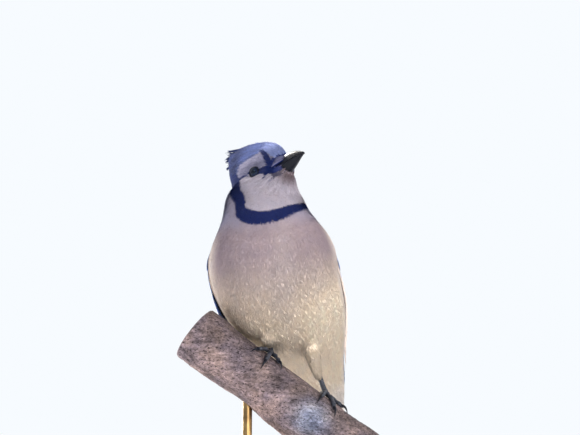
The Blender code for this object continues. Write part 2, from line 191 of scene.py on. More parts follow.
HEAD_AXES = head_axes()
HEAD_ROWS = spline(HEAD)
BILL_ROWS = spline(BILL)


def from_head(p):
    """Points of the head's own frame (forward, left, up) in the bird's frame."""
    return np.asarray(HEAD_AT) + np.asarray(p, float) @ HEAD_AXES


def head_point(t, phi, out=0.0):
    """A point of the head's surface in its own frame: phi is 0 on its left, 90 on top, in radians."""
    row = HEAD_ROWS(t)
    x, wide, mid, top, low, peak = (row[..., i] for i in range(6))
    ahead = out * (2.0 * np.asarray(t, float) / (len(HEAD) - 1.0) - 1.0)
    cs, sn = np.cos(phi), np.sin(phi)
    power = np.where(sn > 0, peak, 0.92)
    y = (wide + out) * np.sign(cs) * np.abs(cs) ** power
    z = mid + np.where(sn > 0, top - mid + out, mid - low + out) * np.sign(sn) * np.abs(sn) ** power
    eye = 4.6 * np.exp(-(((x + 0.4) / 8.0) ** 2) - ((z + 1.5) / 6.0) ** 2)
    lore = 2.6 * np.exp(-(((x - 14.5) / 5.0) ** 2) - ((z + 4.0) / 4.0) ** 2)
    return np.stack([x + ahead + 0 * y, y - np.clip(y / 8.0, -1.0, 1.0) * (eye + lore), z], -1)


def perch_axes():
    s = math.radians(PERCH_SLOPE)
    along = np.array((math.cos(s), 0.0, -math.sin(s)))
    up = np.array((math.sin(s), 0.0, math.cos(s)))
    return along, np.array((0.0, -1.0, 0.0)), up


def perch_point(along, angle, radius):
    """A point round the branch: distance along it, angle in radians from its top to the front, distance from its axis."""
    a, front, up = perch_axes()
    return (
        np.asarray(PERCH_AT)
        + np.multiply.outer(along, a)
        + np.multiply.outer(np.multiply(radius, np.cos(angle)), up)
        + np.multiply.outer(np.multiply(radius, np.sin(angle)), front)
    )


# Folded wing: station, back edge and lower edge round the body in degrees, thickness
WING = (
    (6.2, -60.0, -42.0, 1.2),
    (5.8, -72.0, -28.0, 3.0),
    (5.1, -80.0, -16.0, 4.4),
    (4.2, -84.0, -4.0, 5.0),
    (3.3, -84.0, 3.0, 5.0),
    (2.4, -84.0, 2.0, 4.4),
    (1.6, -82.0, -6.0, 3.8),
    (0.8, -76.0, -14.0, 3.0),
    (0.1, -66.0, -22.0, 2.4),
    (-0.45, -54.0, -34.0, 1.4),
)
WING_LOW = {
    "right": (-6.0, -8.0, -8.0, -8.0, 8.0, 9.0, 4.0, 0.0, 0.0, 0.0),
    "left": (-14.0, -14.0, -14.0, -15.0, -16.0, -18.0, -18.0, -16.0, -14.0, -14.0),
}
# Tail: share of its length, half width, thickness, arch
TAIL = (
    (0.0, 9.0, 5.0, 2.0),
    (0.2, 12.5, 4.2, 2.6),
    (0.5, 17.0, 3.2, 3.0),
    (0.8, 20.5, 2.4, 2.6),
    (0.9, 20.0, 2.0, 2.2),
    (0.96, 16.5, 1.6, 1.8),
    (1.0, 8.0, 1.1, 1.2),
)
TOES = (
    ("middle", 0.0, 21.0, 1.55),
    ("inner", -32.0, 16.0, 1.45),
    ("outer", 30.0, 16.5, 1.4),
    ("hind", 178.0, 13.0, 1.7),
)
FOOT_SWING = {"right": 8.0, "left": 34.0}
CLAW = 6.0
BASE_R, BASE_H = 75.0, 16.0
ROD_R = 3.0
ROD_X = (-27.0, 27.0)
PERCH_FROM, PERCH_TO = -78.0, 74.0
DEPTH = 1.8                       # coat over the skin
WING_AT = spline(WING)


def wing_low(side, u):
    """Degrees that a wing's lower edge sits higher or lower on the side at place u along it."""
    return np.interp(u, np.arange(len(WING)), WING_LOW[side])


TAIL_AT = spline(TAIL)
HEAD_O = np.asarray(HEAD_AT)


def world(p):
    """Bird-frame millimetres to metres on the stand."""
    return (np.asarray(p, float) + (0.0, REAR, LIFT)) / 1000.0


def to_head(p):
    """Bird-frame points in the head's own frame (forward, left, up)."""
    return (np.asarray(p, float) - HEAD_O) @ HEAD_AXES.T


def step(x, a, b):
    """0 below a, 1 above b, smooth between."""
    f = np.clip((np.asarray(x, float) - a) / (b - a), 0.0, 1.0)
    return f * f * (3.0 - 2.0 * f)


def lin(r, g, b):
    """A colour given as display values 0 to 255, as linear light."""
    c = np.array((r, g, b), float) / 255.0
    return np.where(c <= 0.04045, c / 12.92, ((c + 0.055) / 1.055) ** 2.4)


def mix(a, b, f):
    f = np.asarray(f, float)[..., None]
    return np.asarray(a) * (1.0 - f) + np.asarray(b) * f


# ---------------------------------------------------------------- materials
def material(name, rough=0.7, **sockets):
    m = bpy.data.materials.new(name)
    m.use_nodes = True
    shader = m.node_tree.nodes["Principled BSDF"]
    shader.inputs["Roughness"].default_value = rough
    for key, value in sockets.items():
        shader.inputs[key.replace("_", " ")].default_value = value
    return m, m.node_tree, shader


def node(tree, kind, *links, **values):
    """A shader node; links are (input, output socket) pairs, values set properties or inputs."""
    n = tree.nodes.new(kind)
    for key, value in values.items():
        if hasattr(n, key):
            setattr(n, key, value)
        else:
            n.inputs[key.replace("_", " ")].default_value = value
    for socket, source in links:
        tree.links.new(source, n.inputs[socket])
    return n


def maths(tree, operation, a, b=None, clamp=False):
    n = tree.nodes.new("ShaderNodeMath")
    n.operation = operation
    n.use_clamp = clamp
    for i, v in enumerate((a, b)):
        if v is None:
            continue
        if isinstance(v, (int, float)):
            n.inputs[i].default_value = v
        else:
            tree.links.new(v, n.inputs[i])
    return n.outputs[0]


def blend_colour(tree, kind, factor, a, b):
    """Mixes two colours; each is a socket or a plain colour."""
    n = tree.nodes.new("ShaderNodeMix")
    n.data_type = "RGBA"
    n.blend_type = kind
    for i, v in ((0, factor), (6, a), (7, b)):
        if isinstance(v, (int, float)):
            n.inputs[i].default_value = v
        elif isinstance(v, bpy.types.NodeSocket):
            tree.links.new(v, n.inputs[i])
        else:
            n.inputs[i].default_value = (*v, 1.0)
    return n.outputs[2]


def ramp(tree, source, *stops):
    """A colour ramp; stops are (place, colour)."""
    n = tree.nodes.new("ShaderNodeValToRGB")
    tree.links.new(source, n.inputs[0])
    e = n.color_ramp.elements
    while len(e) < len(stops):
        e.new(0.5)
    for item, (place, colour) in zip(e, stops):
        item.position = place
        item.color = (*colour, 1.0) if len(colour) == 3 else colour
    return n.outputs[0]


def grey(v):
    return (v, v, v)


def place(tree, scale=(1.0, 1.0, 1.0), turn=(0.0, 0.0, 0.0)):
    """The object's own coordinates, scaled and turned."""
    where = tree.nodes.new("ShaderNodeTexCoord").outputs["Object"]
    m = node(tree, "ShaderNodeMapping", ("Vector", where))
    m.inputs["Scale"].default_value = scale
    m.inputs["Rotation"].default_value = turn
    return m.outputs[0]


def noise_at(tree, vector, scale, detail=4.0, rough=0.55):
    return node(tree, "ShaderNodeTexNoise", ("Vector", vector), Scale=scale, Detail=detail, Roughness=rough).outputs["Fac"]


def bump(tree, shader, height, distance, strength=1.0):
    b = node(tree, "ShaderNodeBump", ("Height", height), Strength=strength, Distance=distance)
    tree.links.new(b.outputs[0], shader.inputs["Normal"])
    return b


def plumage_material(name, rough, grain):
    """Feather colour painted on the mesh, with fine mottling and a faint sheen."""
    m, tree, shader = material(name, rough, Specular_IOR_Level=0.06, Sheen_Weight=0.02, Sheen_Roughness=0.5)
    colour = node(tree, "ShaderNodeVertexColor", layer_name="Plumage").outputs["Color"]
    fine = noise_at(tree, place(tree), grain, 5.0, 0.65)
    tint = ramp(tree, fine, (0.3, grey(0.90)), (0.7, grey(1.08)))
    broad = noise_at(tree, place(tree), 140.0, 2.0)
    wash = ramp(tree, broad, (0.3, (0.955, 0.96, 0.985)), (0.7, (1.035, 1.02, 1.0)))
    out = blend_colour(tree, "MULTIPLY", 1.0, colour, tint)
    tree.links.new(blend_colour(tree, "MULTIPLY", 1.0, out, wash), shader.inputs["Base Color"])
    bump(tree, shader, fine, 0.0002, 0.15)
    return m


def vane_material():
    """Large feathers: painted ground colour, cross bars, white tip, dark shaft and fine barbs from the feather's own map."""
    m, tree, shader = material("feather_vane", 0.48, Specular_IOR_Level=0.4, Sheen_Weight=0.2, Sheen_Roughness=0.4)
    ground = node(tree, "ShaderNodeVertexColor", layer_name="Plumage").outputs["Color"]
    marks = node(tree, "ShaderNodeVertexColor", layer_name="Marks")
    part = node(tree, "ShaderNodeSeparateColor", (0, marks.outputs["Color"])).outputs
    bars, white, under = part[0], part[1], part[2]
    uv = node(tree, "ShaderNodeUVMap", uv_map="Vane").outputs[0]
    xyz = node(tree, "ShaderNodeSeparateXYZ", (0, uv)).outputs
    across = maths(tree, "SUBTRACT", maths(tree, "MULTIPLY", xyz[0], 2.0), 1.0)
    side = maths(tree, "ABSOLUTE", across)
    along = maths(tree, "MULTIPLY", xyz[1], 100.0)          # millimetres from the root
    wobble = maths(tree, "MULTIPLY", noise_at(tree, place(tree), 260.0, 2.0), 1.6)
    chevron = maths(tree, "SUBTRACT", maths(tree, "ADD", along, wobble), maths(tree, "MULTIPLY", side, 1.6))
    wave = maths(tree, "SINE", maths(tree, "MULTIPLY", chevron, 2.0 * math.pi / 4.6))
    bar = maths(tree, "MULTIPLY", maths(tree, "SUBTRACT", wave, 0.42), 4.5, clamp=True)
    bar = maths(tree, "MULTIPLY", bar, bars)
    barbs = maths(tree, "SINE", maths(tree, "MULTIPLY", maths(tree, "SUBTRACT", along, maths(tree, "MULTIPLY", side, 3.2)), 13.0))
    fine = noise_at(tree, place(tree), 900.0, 4.0, 0.7)
    tint = ramp(tree, fine, (0.3, grey(0.78)), (0.7, grey(1.18)))
    out = blend_colour(tree, "MULTIPLY", 1.0, ground, tint)
    lines = ramp(tree, maths(tree, "MULTIPLY", maths(tree, "ADD", barbs, 1.0), 0.5), (0.0, grey(0.86)), (1.0, grey(1.05)))
    out = blend_colour(tree, "MULTIPLY", 1.0, out, lines)
    out = blend_colour(tree, "MIX", bar, out, tuple(lin(17, 20, 34)))
    out = blend_colour(tree, "MIX", white, out, tuple(lin(236, 236, 240)))
    dull = blend_colour(tree, "MULTIPLY", 1.0, out, tuple(lin(188, 176, 170)))
    out = blend_colour(tree, "MIX", under, out, dull)
    shaft = maths(tree, "SUBTRACT", 1.0, maths(tree, "MULTIPLY", side, 14.0, clamp=True))
    out = blend_colour(tree, "MIX", maths(tree, "MULTIPLY", shaft, 0.75), out, tuple(lin(30, 32, 48)))
    tree.links.new(out, shader.inputs["Base Color"])
    bump(tree, shader, maths(tree, "ADD", barbs, maths(tree, "MULTIPLY", shaft, 2.0)), 0.00008, 0.6)
    return m


def horn_material():
    """Black bill horn: smooth, a little worn and scratched lengthwise, in faintly paler and darker clouds."""
    m, tree, shader = material("bill_horn", 0.36, Specular_IOR_Level=0.22)
    along = place(tree, (260.0, 1500.0, 1500.0), (0.0, math.radians(HEAD_UP), math.radians(90.0 - HEAD_TURN)))
    streak = noise_at(tree, along, 1.0, 4.0, 0.6)
    cloud = noise_at(tree, place(tree), 320.0, 3.0)
    a = ramp(tree, streak, (0.3, tuple(lin(3, 5, 14))), (0.75, tuple(lin(13, 17, 30))))
    b = ramp(tree, cloud, (0.35, grey(0.75)), (0.7, grey(1.2)))
    tree.links.new(blend_colour(tree, "MULTIPLY", 1.0, a, b), shader.inputs["Base Color"])
    tree.links.new(maths(tree, "ADD", maths(tree, "MULTIPLY", streak, 0.12), 0.30), shader.inputs["Roughness"])
    bump(tree, shader, streak, 0.00015, 0.5)
    return m


def eye_material():
    m, tree, shader = material("eye_glass", 0.08, Specular_IOR_Level=0.34, Specular_Tint=(0.5, 0.72, 1.0, 1.0))
    colour = node(tree, "ShaderNodeVertexColor", layer_name="Plumage").outputs["Color"]
    fleck = ramp(tree, noise_at(tree, place(tree), 2600.0, 3.0), (0.3, grey(0.7)), (0.7, grey(1.3)))
    tree.links.new(blend_colour(tree, "MULTIPLY", 1.0, colour, fleck), shader.inputs["Base Color"])
    return m


def scale_material(name, dark, light, rough, shine=0.45):
    """Scaly skin of legs and lids."""
    m, tree, shader = material(name, rough, Specular_IOR_Level=shine)
    cell = node(tree, "ShaderNodeTexVoronoi", ("Vector", place(tree)), Scale=1100.0)
    cell.feature = "DISTANCE_TO_EDGE"
    edge = cell.outputs["Distance"]
    a = ramp(tree, noise_at(tree, place(tree), 420.0, 4.0), (0.3, dark), (0.7, light))
    b = ramp(tree, edge, (0.02, grey(0.55)), (0.16, grey(1.1)))
    tree.links.new(blend_colour(tree, "MULTIPLY", 1.0, a, b), shader.inputs["Base Color"])
    bump(tree, shader, edge, 0.0003, 0.5)
    return m


def bark_material():
    """Grey-brown bark with mauve mottling, dark furrows, short black cracks and small pale corky dots; the cut ends show wood."""
    m, tree, shader = material("bark", 0.86, Specular_IOR_Level=0.25)
    colour = node(tree, "ShaderNodeVertexColor", layer_name="Plumage").outputs["Color"]
    slope = math.radians(PERCH_SLOPE)
    long = place(tree, (90.0, 420.0, 420.0), (0.0, -slope, 0.0))
    furrow = noise_at(tree, long, 1.0, 6.0, 0.62)
    spots = noise_at(tree, place(tree), 620.0, 5.0, 0.7)
    patch = noise_at(tree, place(tree), 75.0, 3.0)
    crack = noise_at(tree, place(tree, (520.0, 1500.0, 1500.0), (0.0, -slope, 0.0)), 1.0, 3.0, 0.5)
    a = ramp(tree, furrow, (0.28, grey(0.38)), (0.5, grey(0.95)), (0.72, grey(1.32)))
    b = ramp(tree, spots, (0.34, grey(0.60)), (0.52, grey(1.0)), (0.7, grey(1.45)))
    c = ramp(tree, patch, (0.35, (0.84, 0.84, 0.92)), (0.65, (1.16, 1.08, 0.96)))
    d = ramp(tree, crack, (0.37, grey(0.22)), (0.43, grey(1.0)))
    out = blend_colour(tree, "MULTIPLY", 1.0, colour, a)
    out = blend_colour(tree, "MULTIPLY", 1.0, out, d)
    out = blend_colour(tree, "MULTIPLY", 1.0, out, b)
    tree.links.new(blend_colour(tree, "MULTIPLY", 1.0, out, c), shader.inputs["Base Color"])
    both = maths(tree, "ADD", furrow, maths(tree, "MULTIPLY", spots, 0.6))
    both = maths(tree, "ADD", both, maths(tree, "MULTIPLY", maths(tree, "MULTIPLY", maths(tree, "SUBTRACT", crack, 0.37), 14.0, clamp=True), 0.3))
    bump(tree, shader, both, 0.0012, 0.8)
    return m


def wood_material():
    """Dark walnut, grain running across the base, satin varnish."""
    m, tree, shader = material("walnut", 0.38, Specular_IOR_Level=0.5, Coat_Weight=0.35, Coat_Roughness=0.18)
    grain = noise_at(tree, place(tree, (14.0, 210.0, 210.0)), 1.0, 6.0, 0.6)
    wide = node(tree, "ShaderNodeTexWave", ("Vector", place(tree, (6.0, 60.0, 60.0))), Scale=1.0, Distortion=5.0, Detail=3.0).outputs["Fac"]
    pores = noise_at(tree, place(tree, (60.0, 1500.0, 1500.0)), 1.0, 3.0, 0.7)
    a = ramp(tree, grain, (0.25, tuple(lin(58, 36, 24))), (0.5, tuple(lin(98, 63, 41))), (0.8, tuple(lin(132, 90, 60))))
    b = ramp(tree, wide, (0.0, grey(0.8)), (1.0, grey(1.15)))
    c = ramp(tree, pores, (0.36, grey(0.55)), (0.48, grey(1.05)))
    out = blend_colour(tree, "MULTIPLY", 1.0, a, b)
    tree.links.new(blend_colour(tree, "MULTIPLY", 1.0, out, c), shader.inputs["Base Color"])
    bump(tree, shader, pores, 0.0002, 0.35)
    return m


def metal_material():
    """Brushed bronze, a little tarnished."""
    m, tree, shader = material("bronze", 0.3, Metallic=1.0)
    brush = noise_at(tree, place(tree, (2600.0, 2600.0, 60.0)), 1.0, 3.0)
    tarnish = noise_at(tree, place(tree), 130.0, 5.0)
    tree.links.new(ramp(tree, tarnish, (0.32, tuple(lin(116, 92, 62))), (0.68, tuple(lin(176, 146, 98)))), shader.inputs["Base Color"])
    tree.links.new(maths(tree, "ADD", maths(tree, "MULTIPLY", brush, 0.22), 0.2), shader.inputs["Roughness"])
    bump(tree, shader, brush, 0.00008, 0.4)
    return m


COAT = plumage_material("coat_feathers", 0.82, 1500.0)
SKIN = plumage_material("skin_down", 0.9, 700.0)
VANE = vane_material()
HORN = horn_material()
EYE = eye_material()
SCALES = scale_material("leg_scales", tuple(lin(26, 28, 36)), tuple(lin(62, 66, 78)), 0.5)
LID = scale_material("lid_skin", tuple(lin(6, 8, 18)), tuple(lin(18, 23, 42)), 0.6, 0.12)
BARK = bark_material()
WOOD = wood_material()
METAL = metal_material()


# ---------------------------------------------------------------- meshes
def build(name, verts, faces, paint, colours=None, marks=None, maps=None, replaces=(), smooth=True, sharp=None):
    """A piece from bird-frame points and rows of triangles or quads; colours and maps are given for each point."""
    rows = [np.asarray(f, np.int32) for f in (faces if isinstance(faces, list) else [faces])]
    rows = [f for f in rows if len(f)]
    corners = np.concatenate([f.ravel() for f in rows])
    sizes = np.concatenate([np.full(len(f), f.shape[1], np.int32) for f in rows])
    starts = np.concatenate([[0], np.cumsum(sizes)[:-1]]).astype(np.int32)
    mesh = bpy.data.meshes.new(name)
    mesh.vertices.add(len(verts))
    mesh.vertices.foreach_set("co", world(verts).astype(np.float32).ravel())
    mesh.loops.add(len(corners))
    mesh.loops.foreach_set("vertex_index", corners)
    mesh.polygons.add(len(sizes))
    mesh.polygons.foreach_set("loop_start", starts)
    mesh.update(calc_edges=True)
    for key, values in (("Plumage", colours), ("Marks", marks)):
        if values is not None:
            layer = mesh.color_attributes.new(key, "FLOAT_COLOR", "POINT")
            rgba = np.ones((len(verts), 4), np.float32)
            rgba[:, :3] = values
            layer.data.foreach_set("color", rgba.ravel())
    for key, uv in (maps or {}).items():
        layer = mesh.uv_layers.new(name=key)
        layer.data.foreach_set("uv", np.asarray(uv, np.float32)[corners].ravel())
    mesh.materials.append(paint)
    if smooth:
        mesh.shade_smooth()
        if sharp:
            mesh.set_sharp_from_angle(angle=math.radians(sharp))
    obj = bpy.data.objects.new(name, mesh)
    bpy.context.scene.collection.objects.link(obj)
    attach(obj, "root")
    if replaces:
        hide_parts(*replaces)
    return obj


def loft(rings):
    """Points and faces of a closed skin over rings, with a fan over each end."""
    rings = np.asarray(rings, float)
    n, k = rings.shape[:2]
    verts = np.concatenate([rings.reshape(-1, 3), rings[0].mean(0)[None], rings[-1].mean(0)[None]])
    i = np.arange(k)
    j = (i + 1) % k
    a = (np.arange(n - 1) * k)[:, None]
    quads = np.stack([a + i, a + j, a + k + j, a + k + i], -1).reshape(-1, 4)
    last = (n - 1) * k
    low = np.stack([j, i, np.full(k, n * k)], -1)
    high = np.stack([last + i, last + j, np.full(k, n * k + 1)], -1)
    # outward if the first ring turns the right way
    p = verts[quads[len(quads) // 2]]
    normal = np.cross(p[1] - p[0], p[3] - p[0])
    ring = rings[(len(quads) // 2) // k]
    if normal @ (p.mean(0) - ring.mean(0)) < 0:
        quads, low, high = quads[:, ::-1], low[:, ::-1], high[:, ::-1]
    return verts, [quads, np.concatenate([low, high])]


def joined(parts):
    """Several (points, faces) as one."""
    verts, quads, tris, at = [], [], [], 0
    for v, f in parts:
        for block in f if isinstance(f, list) else [f]:
            (quads if block.shape[1] == 4 else tris).append(block + at)
        verts.append(v)
        at += len(v)
    faces = [np.concatenate(b) for b in (quads, tris) if b]
    return np.concatenate(verts), faces


def tube(points, radii, around=14, squash=None):
    """A round closed tube along points; squash flattens it along its second direction."""
    points = np.asarray(points, float)
    n = len(points)
    d = unit(np.gradient(points, axis=0))
    side = unit(np.cross(d[0], (0.31, 0.23, 0.92)))
    rings = []
    for i in range(n):
        side = unit(side - (side @ d[i]) * d[i])
        other = np.cross(d[i], side)
        a = np.linspace(0.0, 2.0 * math.pi, around, endpoint=False)
        r = np.broadcast_to(radii[i], a.shape)
        rings.append(points[i] + (r * np.cos(a))[:, None] * side + (r * np.sin(a))[:, None] * other)
    return loft(rings)


def line_through(points, count):
    """A smooth curve through points, sampled evenly; extra columns such as a radius go with it."""
    at = spline(points)
    fine = at(np.linspace(0.0, len(points) - 1.0, 400))
    length = np.concatenate([[0.0], np.cumsum(np.linalg.norm(np.diff(fine[:, :3], axis=0), axis=1))])
    want = np.linspace(0.0, length[-1], count)
    return np.stack([np.interp(want, length, fine[:, c]) for c in range(fine.shape[1])], -1)


# ---------------------------------------------------------------- skin
EYES = np.array([from_head((EYE_X, sign * EYE_Y, 0.0)) for sign in (1.0, -1.0)])
EYE_AIM = [unit((0.34, 0.93 * sign, -0.08)) @ HEAD_AXES for sign in (1.0, -1.0)]


def body_rings(first, last, steps, around, out):
    a = np.linspace(0.0, 2.0 * math.pi, around, endpoint=False)
    return [body_point(np.full(around, t), a, out) for t in np.linspace(first, last, steps)]


def head_rings(out, steps, around):
    a = np.linspace(0.0, 2.0 * math.pi, around, endpoint=False)
    return [from_head(head_point(np.full(around, t), a, out)) for t in np.linspace(0.0, len(HEAD) - 1.0, steps)]


THIGHS = {
    "left": ((11.0, 12.0, 44.0, 13.0), (14.0, 4.5, 32.0, 10.5), (16.5, 1.5, 21.5, 6.4), (18.6, 0.0, 13.0, 2.8)),
    "right": ((-8.5, 3.0, 52.0, 14.0), (-11.5, -3.2, 43.0, 12.5), (-13.2, -4.2, 38.0, 8.6), (-14.0, -2.6, 34.6, 4.0)),
}


def thigh_rings(side, out, steps=30, around=40):
    at = spline(THIGHS[side])
    a = np.linspace(0.0, 2.0 * math.pi, around, endpoint=False)
    rings = []
    for u in np.linspace(0.0, 3.0, steps):
        row = at(u)
        d = unit(at(u + 0.05)[:3] - at(u - 0.05)[:3])
        left = unit(np.cross(d, (0.0, 1.0, 0.0)))
        rings.append(row[:3] + max(row[3] + out - np.interp(u, (0.0, 1.0, 2.0, 3.0), (5.6, 5.0, 1.8, 0.0)), 1.3) * (np.cos(a)[:, None] * left + np.sin(a)[:, None] * np.cross(d, left)))
    return rings


def remeshed(name, parts, voxel, rounds):
    """One closed surface over overlapping lofts, smoothed."""
    verts, faces = joined(parts)
    rough = build(name + "_rough", verts, faces, SKIN)
    m = rough.modifiers.new("Remesh", "REMESH")
    m.mode, m.voxel_size = "VOXEL", voxel / 1000.0
    s = rough.modifiers.new("Smooth", "SMOOTH")
    s.factor, s.iterations = 0.5, rounds
    mesh = bpy.data.meshes.new_from_object(rough.evaluated_get(bpy.context.evaluated_depsgraph_get()))
    bpy.data.objects.remove(rough)
    mesh.calc_loop_triangles()
    v = np.zeros(len(mesh.vertices) * 3, np.float32)
    mesh.vertices.foreach_get("co", v)
    v = v.reshape(-1, 3) * 1000.0 - (0.0, REAR, LIFT)
    f = np.zeros(len(mesh.loop_triangles) * 3, np.int32)
    mesh.loop_triangles.foreach_get("vertices", f)
    bpy.data.meshes.remove(mesh)
    return v.astype(float), f.reshape(-1, 3)


def point_normals(v, f):
    n = np.cross(v[f[:, 1]] - v[f[:, 0]], v[f[:, 2]] - v[f[:, 0]])
    out = np.zeros_like(v)
    for c in range(3):
        np.add.at(out, f[:, c], n)
    return unit(out)


SKIN_V, SKIN_F = remeshed(
    "skin",
    [
        loft(body_rings(0.03, 8.0, 90, 110, -DEPTH)),
        loft(head_rings(-DEPTH, 80, 110)),
        loft(thigh_rings("left", -1.4)),
        loft(thigh_rings("right", -1.4)),
    ],
    0.95, 9,
)


NEAR = np.concatenate([SKIN_F[:, [0, 1]], SKIN_F[:, [1, 2]], SKIN_F[:, [2, 0]]])
NEAR_COUNT = np.maximum(np.bincount(NEAR[:, 0], minlength=len(SKIN_V)) + np.bincount(NEAR[:, 1], minlength=len(SKIN_V)), 1)


def averaged(values):
    """Each skin point's value averaged over its neighbours."""
    out = np.empty_like(values)
    for c in range(values.shape[1]):
        out[:, c] = np.bincount(NEAR[:, 0], values[NEAR[:, 1], c], len(values)) + np.bincount(NEAR[:, 1], values[NEAR[:, 0], c], len(values))
    return out / NEAR_COUNT[:, None]


def fill_creases(v, rounds=170, most=3.6):
    """Rounds out the hollows between throat and breast and round the thighs, where feathers bridge them."""
    start, normal = v.copy(), point_normals(v, SKIN_F)
    where = np.maximum(step(-v[:, 1], 9.0, 17.0) * step(v[:, 2], 147.0, 139.0) * step(v[:, 2], 110.0, 118.0), step(v[:, 2], 70.0, 62.0) * step(v[:, 2], 14.0, 22.0))
    for turn in range(rounds):
        if turn % 15 == 14:
            normal = point_normals(v, SKIN_F)
        move = ((averaged(v) - v) * normal).sum(-1)
        room = most - ((v - start) * normal).sum(-1)
        v = v + normal * (np.clip(move, 0.0, np.maximum(room, 0.0)) * 0.9 * where)[:, None]
    # the forehead stands a little fuller over the bill
    h = to_head(v)
    full = 1.2 * np.exp(-((h[:, 0] - 12.5) / 7.5) ** 2) * step(h[:, 2], 5.0, 13.0)
    return v + full[:, None] * unit(0.45 * HEAD_AXES[0] + HEAD_AXES[2])


def sink_sockets(v):
    """The skin dips behind the front of each eyeball, in a dish that ends under the lids."""
    v = v.copy()
    for centre, aim in zip(EYES, EYE_AIM):
        d = v - centre
        along = d @ aim
        r = np.linalg.norm(d - along[:, None] * aim, axis=1)
        most = np.interp(r, (0.0, 3.0, 4.0, 6.5), (2.0, 2.5, 2.7, 9.0))
        near = (r < 6.5) & (along > 0.0) & (along > most)
        v[near] -= aim * (along - most)[near][:, None]
    return v


SKIN_V = sink_sockets(fill_creases(SKIN_V))
SKIN_N = point_normals(SKIN_V, SKIN_F)
TREE = BVHTree.FromPolygons(SKIN_V.tolist(), SKIN_F.tolist())


def on_skin(points):
    """Nearest places of the skin, their normals and faces."""
    where, normal, face = np.empty_like(points), np.empty_like(points), np.empty(len(points), int)
    for i, p in enumerate(points):
        hit = TREE.find_nearest(p.tolist())
        where[i], normal[i], face[i] = hit[0], hit[1], hit[2]
    return where, normal, face


# ---------------------------------------------------------------- where each point of the skin belongs
def nearest_row(grid, extra, points):
    """For each point the extra values of the nearest grid point, and its distance."""
    tree = KDTree(len(grid))
    for i, p in enumerate(grid.tolist()):
        tree.insert(p, i)
    tree.balance()
    found = [tree.find(p) for p in points.tolist()]
    index = np.array([f[1] for f in found])
    return extra[index], np.array([f[2] for f in found])


def place_on_bird(points):
    """Station and angle on the body, how much a point belongs to the head and to each thigh, and the lie of the coat there."""
    t, phi = np.meshgrid(np.linspace(0.0, 8.0, 130), np.linspace(0.0, 2.0 * math.pi, 150, endpoint=False), indexing="ij")
    grid = body_point(t.ravel(), phi.ravel(), -DEPTH)
    (bt, bphi), body_far = (lambda e, d: (e.T, d))(*nearest_row(grid, np.stack([t.ravel(), phi.ravel()], -1), points))
    ht, hphi = np.meshgrid(np.linspace(0.0, len(HEAD) - 1.0, 90), np.linspace(0.0, 2.0 * math.pi, 120, endpoint=False), indexing="ij")
    hgrid = from_head(head_point(ht.ravel(), hphi.ravel(), -DEPTH))
    _, head_far = nearest_row(hgrid, ht.ravel(), points)
    body_lie = -(body_point(bt + 0.04, bphi) - body_point(bt - 0.04, bphi))
    body_lie = unit(body_lie)
    h = to_head(points)
    # out from the base of the bill; along the crown the feathers run to the crest
    source = np.stack([np.full(len(h), 17.0), h[:, 1] * 0.25, np.full(len(h), -3.5)], -1)
    head_lie = h - source
    crown = step(h[:, 2], 6.0, 15.0)
    head_lie = unit(head_lie) * (1.0 - crown)[:, None] + crown[:, None] * unit(np.stack([np.full(len(h), -1.0), h[:, 1] * 0.012, 0.25 + 0 * h[:, 2]], -1))
    throat = step(-h[:, 2], 16.0, 30.0)
    head_lie = head_lie @ HEAD_AXES
    head_lie = unit(head_lie) * (1.0 - 0.6 * throat)[:, None] + (0.6 * throat)[:, None] * body_lie
    weight = [np.exp(-body_far / 0.9), np.exp(-head_far / 0.9)]
    lies = [body_lie, head_lie]
    for side in ("left", "right"):
        rings = np.array(thigh_rings(side, -1.4, 24, 30))
        down = np.repeat(unit(np.gradient(rings.mean(1), axis=0)), 30, 0)
        lie, far = nearest_row(rings.reshape(-1, 3), down, points)
        weight.append(np.exp(-far / 0.9) * 0.9)
        lies.append(lie)
    weight = np.array(weight)
    weight = weight / np.maximum(weight.sum(0), 1e-9)
    lie = sum(w[:, None] * l for w, l in zip(weight, lies))
    return bt, bphi, weight[1], weight[2], weight[3], lie


BT, BPHI, HW, TLW, TRW, LIE = place_on_bird(SKIN_V)
SMOOTH_LIE = LIE
for _ in range(70):
    SMOOTH_LIE = averaged(SMOOTH_LIE)
LIE = LIE + (SMOOTH_LIE - LIE) * (step(SKIN_V[:, 2], 150.0, 138.0) * step(-to_head(SKIN_V)[:, 2], 4.0, 14.0))[:, None]
LIE = unit(LIE - (LIE * SKIN_N).sum(-1)[:, None] * SKIN_N)


# ---------------------------------------------------------------- markings
# Strokes in the head's frame: x, distance from the middle plane, z, half width
EYE_LINE = ((-4.4, 13.4, 1.5, 0.8), (-6.6, 14.4, 0.9, 0.75), (-8.7, 15.4, 0.7, 0.8), (-11.4, 16.6, -0.2, 1.4), (-13.4, 16.9, 0.0, 2.2))
LORE = ((3.4, 12.0, -1.8, 2.8), (6.5, 12.2, -2.6, 3.1), (9.5, 11.6, -3.8, 3.6), (11.5, 10.8, -4.6, 3.4), (13.2, 9.9, -5.2, 2.6))
SPUR = ((9.2, 12.6, -6.3, 1.3), (8.5, 13.7, -8.2, 0.9), (7.9, 14.5, -9.9, 0.45))
V_REAR = ((12.0, 10.0, -3.5, 2.8), (12.0, 10.0, -0.5, 2.5), (11.6, 10.1, 2.6, 2.2), (10.6, 9.9, 6.0, 2.0), (9.4, 9.2, 9.2, 1.8), (7.6, 9.0, 11.8, 1.2), (6.2, 9.0, 13.2, 0.7))
V_FRONT = ((12.8, 9.6, 0.2, 1.5), (14.4, 8.7, 1.4, 1.25), (15.8, 7.8, 3.0, 1.15), (17.0, 6.6, 4.2, 1.05), (18.8, 5.3, 4.2, 0.95), (20.5, 4.0, 3.5, 0.95), (21.0, 2.0, 4.2, 0.95), (21.1, 0.0, 4.6, 0.95))
